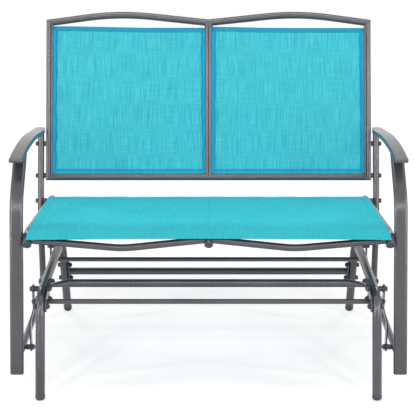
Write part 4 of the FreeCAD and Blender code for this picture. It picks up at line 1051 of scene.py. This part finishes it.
# %% Draw the profiles of the nuts
NUT_FLAT = 6.5 * MM
NUT_CORNER = 7.6 * MM
CHAMFER_HEIGHT = 0.7 * MM
BORE_RADIUS = 4.05 * MM
LOCK_FOOT_RADIUS = 0.86 * NUT_CORNER
COLLAR_HEIGHT = 1.6 * MM
COLLAR_FOOT_RADIUS = 6.1 * MM
COLLAR_RADIUS = 5.6 * MM
COLLAR_TOP_RADIUS = 4.8 * MM
SHOULDER_HEIGHT = 0.6 * MM
DOME_FOOT_RADIUS = 0.9 * NUT_CORNER
DOME_CORNER_DROP = 1.4 * MM
DOME_NECK_DROP = 0.8 * MM
DOME_NECK_RADIUS = 6.2 * MM
DOME_RADIUS = 5.7 * MM
DOME_BULGE = 2.9 * MM
DOME_STOPS = (0, 0.35, 0.7, 1.05, 1.35, math.pi / 2)


def lock_nut(height):
    """Points of a closed ring, from the bore over the hexagon and the collar to the bore."""
    collar = height - min(COLLAR_HEIGHT, height / 3)
    return [(0, BORE_RADIUS), (0, LOCK_FOOT_RADIUS), (CHAMFER_HEIGHT, NUT_CORNER),
            (collar - SHOULDER_HEIGHT, NUT_CORNER), (collar, COLLAR_FOOT_RADIUS),
            (height - SHOULDER_HEIGHT, COLLAR_RADIUS), (height, COLLAR_TOP_RADIUS),
            (height, BORE_RADIUS)], True


def dome_nut(height):
    """Points from the middle of the foot over the hexagon to the top of the dome."""
    dome = [(height + DOME_BULGE * math.sin(stop), DOME_RADIUS * math.cos(stop))
            for stop in DOME_STOPS]
    return [(0, 0.0), (0, DOME_FOOT_RADIUS), (CHAMFER_HEIGHT, NUT_CORNER),
            (height - DOME_CORNER_DROP, NUT_CORNER),
            (height - DOME_NECK_DROP, DOME_NECK_RADIUS)] + dome, False


# %% Make the nuts
ROD_NUTS = ("front_rod_nuts", "rear_rod_nuts")


def make_nuts(node, shape, finish):
    """A nut faces the way its bolt points: outwards on the tie rods, and inwards elsewhere."""
    bm = bmesh.new()
    for low, high, middle, _ in loose_parts(node):
        outward = 1 if low > 0 else -1
        toward = outward if node in ROD_NUTS else -outward
        seat = middle + Vector((low if toward > 0 else high, 0, 0))
        profile, closed = shape(high - low)
        made = turned(bm, profile, seat, toward, closed)
        cut_flats(made, seat, NUT_FLAT)
    put_in_place(node, bm, finish)


make_nuts("cross_bar_nuts", dome_nut, black_cap)
for node in ("upper_pivot_nuts", "lower_pivot_nuts", "seat_nuts", *ROD_NUTS):
    make_nuts(node, lock_nut, dark_zinc)

# %% [markdown]
# ## Weld beads
#
# The bars are welded to their end plates, the seat's rear rail to the side rails, and the
# back's middle stile to its two rails. A weld is a small uneven bead that fills the corner all
# the way round. A tube along a curve would be too even. So a circle is spun into a ring, each
# of its points is drawn in to the bar and moved along it until the ring meets the surface that
# the bar runs into, and its thickness swells and shrinks as a welder's dabs do.

# %% Make the weld beads
BEAD_RADIUS = 2.0 * MM
BEAD_SIDES = 8
BEAD_STEPS = 36
DABS = 13
DAB_SWELL = 0.22
ROUGH_SWELL = 0.12
ROUGHNESS_PER_METRE = 900


def weld(bm, centre, axis, across, half_across, half_up, reach=None, bead=BEAD_RADIUS):
    """A bead round a bar. across is one of the bar's cross directions, reach its saddle."""
    up = axis.cross(across)
    start = centre + across
    count = len(bm.verts)
    ring = bmesh.ops.create_circle(
        bm, segments=BEAD_SIDES, radius=bead, cap_ends=False,
        matrix=Matrix.Translation(start) @ Matrix((axis, across, up)).transposed().to_4x4())
    edges = list(dict.fromkeys(edge for vertex in ring["verts"] for edge in vertex.link_edges))
    bmesh.ops.spin(bm, geom=ring["verts"] + edges, cent=centre, axis=axis, angle=2 * math.pi,
                   steps=BEAD_STEPS, use_merge=True)
    bm.verts.ensure_lookup_table()
    for vertex in list(bm.verts)[count:]:
        arm = vertex.co - centre
        angle = math.atan2(arm.dot(up), arm.dot(across))
        outward = across * math.cos(angle) + up * math.sin(angle)
        rough = noise.noise(arm * ROUGHNESS_PER_METRE)
        dab = 1 + DAB_SWELL * math.sin(DABS * angle) + ROUGH_SWELL * rough
        small = (arm - outward) * dab
        on_bar = across * math.cos(angle) * half_across + up * math.sin(angle) * half_up
        slide = reach(half_up * math.sin(angle)) if reach else 0.0
        vertex.co = centre + on_bar + small + axis * slide


# %% Weld the cross bars to their plates
ROUND_BAR_RADIUS = 11 * MM
FLAT_END_HALF_DEPTH = 14 * MM
FLAT_END_HALF_HEIGHT = 4.75 * MM
FLAT_END_DROP = 5.5 * MM
BAR_ENDS = (("front_cross_bar", FLAT_END_HALF_DEPTH, FLAT_END_HALF_HEIGHT, FLAT_END_DROP),
            ("rear_cross_bar", ROUND_BAR_RADIUS, ROUND_BAR_RADIUS, 0.0))

bm = bmesh.new()
side_way = Vector((0, 1, 0))
plate_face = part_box("front_cross_bar")[1].x
for node, half_across, half_up, drop in BAR_ENDS:
    bar = middle_of(node)
    for side in (-1, 1):
        end = Vector((side * plate_face, bar.y, bar.z - drop))
        weld(bm, end, Vector((side, 0, 0)), side_way, half_across, half_up)
make_piece("cross_bar_welds", bm, "base", [frame_paint])

# %% Weld the seat's rear rail and the back's middle stile
SMALL_RAIL_RADIUS = 9.5 * MM
TOP_BEAD_RADIUS = 3.4 * MM
STILE_BEAD_HALF_DEPTH = 9 * MM
NEAR_MIDDLE = 20 * MM


def saddle(height):
    """How much further a bar runs, off its middle, before it meets a round side rail."""
    return RAIL_RADIUS - math.sqrt(max(0.0, RAIL_RADIUS ** 2 - height ** 2))


bm = bmesh.new()
for side in (-1, 1):
    outward = Vector((side, 0, 0))
    meet = side * (rail_x - RAIL_RADIUS)
    weld(bm, Vector((meet, rear_rail.y, rear_rail.z)), outward, side_way, SMALL_RAIL_RADIUS,
         SMALL_RAIL_RADIUS, saddle)
top_rail_low = min(v.co.z for v in frame["nodes"]["back_top_rail"].data.vertices
                   if abs(v.co.x) < NEAR_MIDDLE)
print("the middle stile meets the top rail at", round(top_rail_low, 4))
stile_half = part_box("back_middle_stile")[1].x
foot_meet = back_foot + back_up * BOTTOM_RAIL_HEIGHT
top_meet = back_foot + back_up * ((top_rail_low - back_foot.z) / back_up.z)
for meet, bead in ((foot_meet, BEAD_RADIUS), (top_meet, TOP_BEAD_RADIUS)):
    weld(bm, meet, back_up, Vector((1, 0, 0)), stile_half, STILE_BEAD_HALF_DEPTH, bead=bead)
make_piece("seat_welds", bm, "seat", [frame_paint])

# %% [markdown]
# ## Give the frame its finishes
#
# The pieces that came in with the frame keep their shape, because the real ones are as plain.
# The frame's record names a finish for each, so one loop over it dresses them all. The nodes
# that were replaced are in the record too, and take a finish like the rest.

# %% Paint the frame
FINISHES = {
    "frame_paint": frame_paint,
    "armrest_paint": armrest_paint,
    "dark_steel": dark_zinc,
    "cap_plastic": cap_plastic,
    "bush_nylon": bush_nylon,
    "sling_fabric": seat_fabric,
}
for part in frame["record"]["subparts"]:
    node = frame["nodes"][part["node"]]
    node.data.materials.clear()
    node.data.materials.append(FINISHES[part["material_slot"]])

# %% [markdown]
# ## The studio
#
# The bench stands on a white floor under a white sky. A white floor could be had from strong
# light, but that would bleach the bench too. So the floor has a glow of its own for the camera,
# weaker round the bench, where the soft shadow still has to show.

# %% White only where the camera sees it
WHITE = (1, 1, 1, 1)


def seen_plainly(tree):
    """1 for a ray from the camera, off a reflection or through a clear surface, or else 0."""
    path = add_node(tree, "LightPath")
    glossy = add_node(tree, "Math", {"operation": "MAXIMUM"},
                      {0: path.outputs["Is Camera Ray"], 1: path.outputs["Is Glossy Ray"]})
    both = add_node(tree, "Math", {"operation": "MAXIMUM"},
                    {0: glossy.outputs["Value"], 1: path.outputs["Is Transmission Ray"]})
    return both.outputs["Value"]


# %% Floor
FLOOR_REACH = 14
FLOOR_PAINT = (0.52, 0.52, 0.52, 1)
GLOW_NEAR = 0.63
GLOW_FAR = 0.85
GLOW_RISES_FROM = 0.9
GLOW_RISES_TO = 4.0


def make_floor():
    bm = bmesh.new()
    bmesh.ops.create_grid(bm, x_segments=1, y_segments=1, size=FLOOR_REACH)
    floor = add_object("floor", mesh_from(bm, "floor"))
    material = bpy.data.materials.new("white_floor")
    tree = empty_tree(material)
    paint = add_node(tree, "BsdfDiffuse", inputs={"Color": FLOOR_PAINT})
    place = add_node(tree, "TexCoord").outputs["Object"]
    distance = add_node(tree, "VectorMath", {"operation": "LENGTH"}, {0: place})
    level = spread(tree, distance.outputs["Value"], GLOW_RISES_FROM, GLOW_RISES_TO,
                   GLOW_NEAR, GLOW_FAR)
    strength = add_node(tree, "Math", {"operation": "MULTIPLY"}, {0: seen_plainly(tree), 1: level})
    glow = add_node(tree, "Emission", inputs={
        "Color": WHITE, "Strength": strength.outputs["Value"],
    })
    both = add_node(tree, "AddShader", inputs={
        0: paint.outputs["BSDF"], 1: glow.outputs["Emission"],
    })
    add_node(tree, "OutputMaterial", inputs={"Surface": both.outputs["Shader"]})
    floor.data.materials.append(material)
    print("floor reaches", FLOOR_REACH, "metres")


make_floor()

# %% [markdown]
# The sky lights the bench evenly and weakly, and is plain white only where the camera or a
# reflection sees it. A wide soft lamp hangs in front and above, a second one overhead, and a
# faint one stands low in front. Large lamps alone leave round tubes dull, so tall narrow ones
# at the sides, in front and behind draw thin bright lines down them.

# %% Sky
AMBIENT = 0.28


def make_sky():
    world = bpy.data.worlds.new("studio")
    bpy.context.scene.world = world
    tree = empty_tree(world)
    ambient = add_node(tree, "Background", inputs={"Color": WHITE, "Strength": AMBIENT})
    white = add_node(tree, "Background", inputs={"Color": WHITE, "Strength": 1.0})
    mix = add_node(tree, "MixShader", inputs={
        0: seen_plainly(tree), 1: ambient.outputs["Background"], 2: white.outputs["Background"],
    })
    add_node(tree, "OutputWorld", inputs={"Surface": mix.outputs["Shader"]})
    print("sky of strength", AMBIENT)


make_sky()


# %% Lamps
def add_lamp(name, place, target, width, height, power):
    """A lamp of so many metres and watts, turned towards its target."""
    data = bpy.data.lights.new(name, "AREA")
    data.shape = "RECTANGLE"
    data.size = width
    data.size_y = height
    data.energy = power
    lamp = add_object(name, data)
    lamp.location = place
    lamp.rotation_euler = (Vector(target) - Vector(place)).to_track_quat("-Z", "Y").to_euler()
    print(lamp.name, power, "watts")


add_lamp("front_softbox", (0, -2.9, 2.3), (0, 0, 0.7), 2.2, 0.25, 18)
add_lamp("low_fill", (0, -3.9, 1.0), (0, 0, 0.5), 2.6, 0.3, 2)
add_lamp("top_softbox", (0, -0.2, 2.9), (0, 0, 0.5), 2.2, 0.5, 24)
for side in (-1, 1):
    add_lamp("front_strip", (side * 1.8, -2.5, 1.6), (0, 0, 0.6), 0.14, 1.7, 22)
    add_lamp("side_strip", (side * 2.8, -0.9, 1.2), (0, 0, 0.5), 0.16, 2.0, 26)
    add_lamp("rear_strip", (side * 1.5, 1.8, 2.3), (0, 0, 0.5), 0.3, 1.4, 11)

# %% [markdown]
# ## The camera
#
# The camera stands about three metres in front of the bench, higher than its back, and looks
# down at it a little. A wide lens from nearer by would splay the arms, so the lens is a long
# one, and the sides stay nearly parallel.

# %% Camera
FRAME_WIDTH = 416
FOCAL_PIXELS = 1200
SENSOR_WIDTH = 36
CAMERA_PLACE = (-0.0016, -3.2677, 1.379)
CAMERA_TILT = math.radians(73.58)

camera_data = bpy.data.cameras.new("camera")
camera_data.sensor_width = SENSOR_WIDTH
camera_data.lens = FOCAL_PIXELS / FRAME_WIDTH * SENSOR_WIDTH
camera = add_object("camera", camera_data)
camera.location = CAMERA_PLACE
camera.rotation_euler = (CAMERA_TILT, 0, 0)
bpy.context.scene.camera = camera
bpy.context.scene.view_settings.view_transform = "Standard"
print("lens of", round(camera_data.lens, 1), "mm")
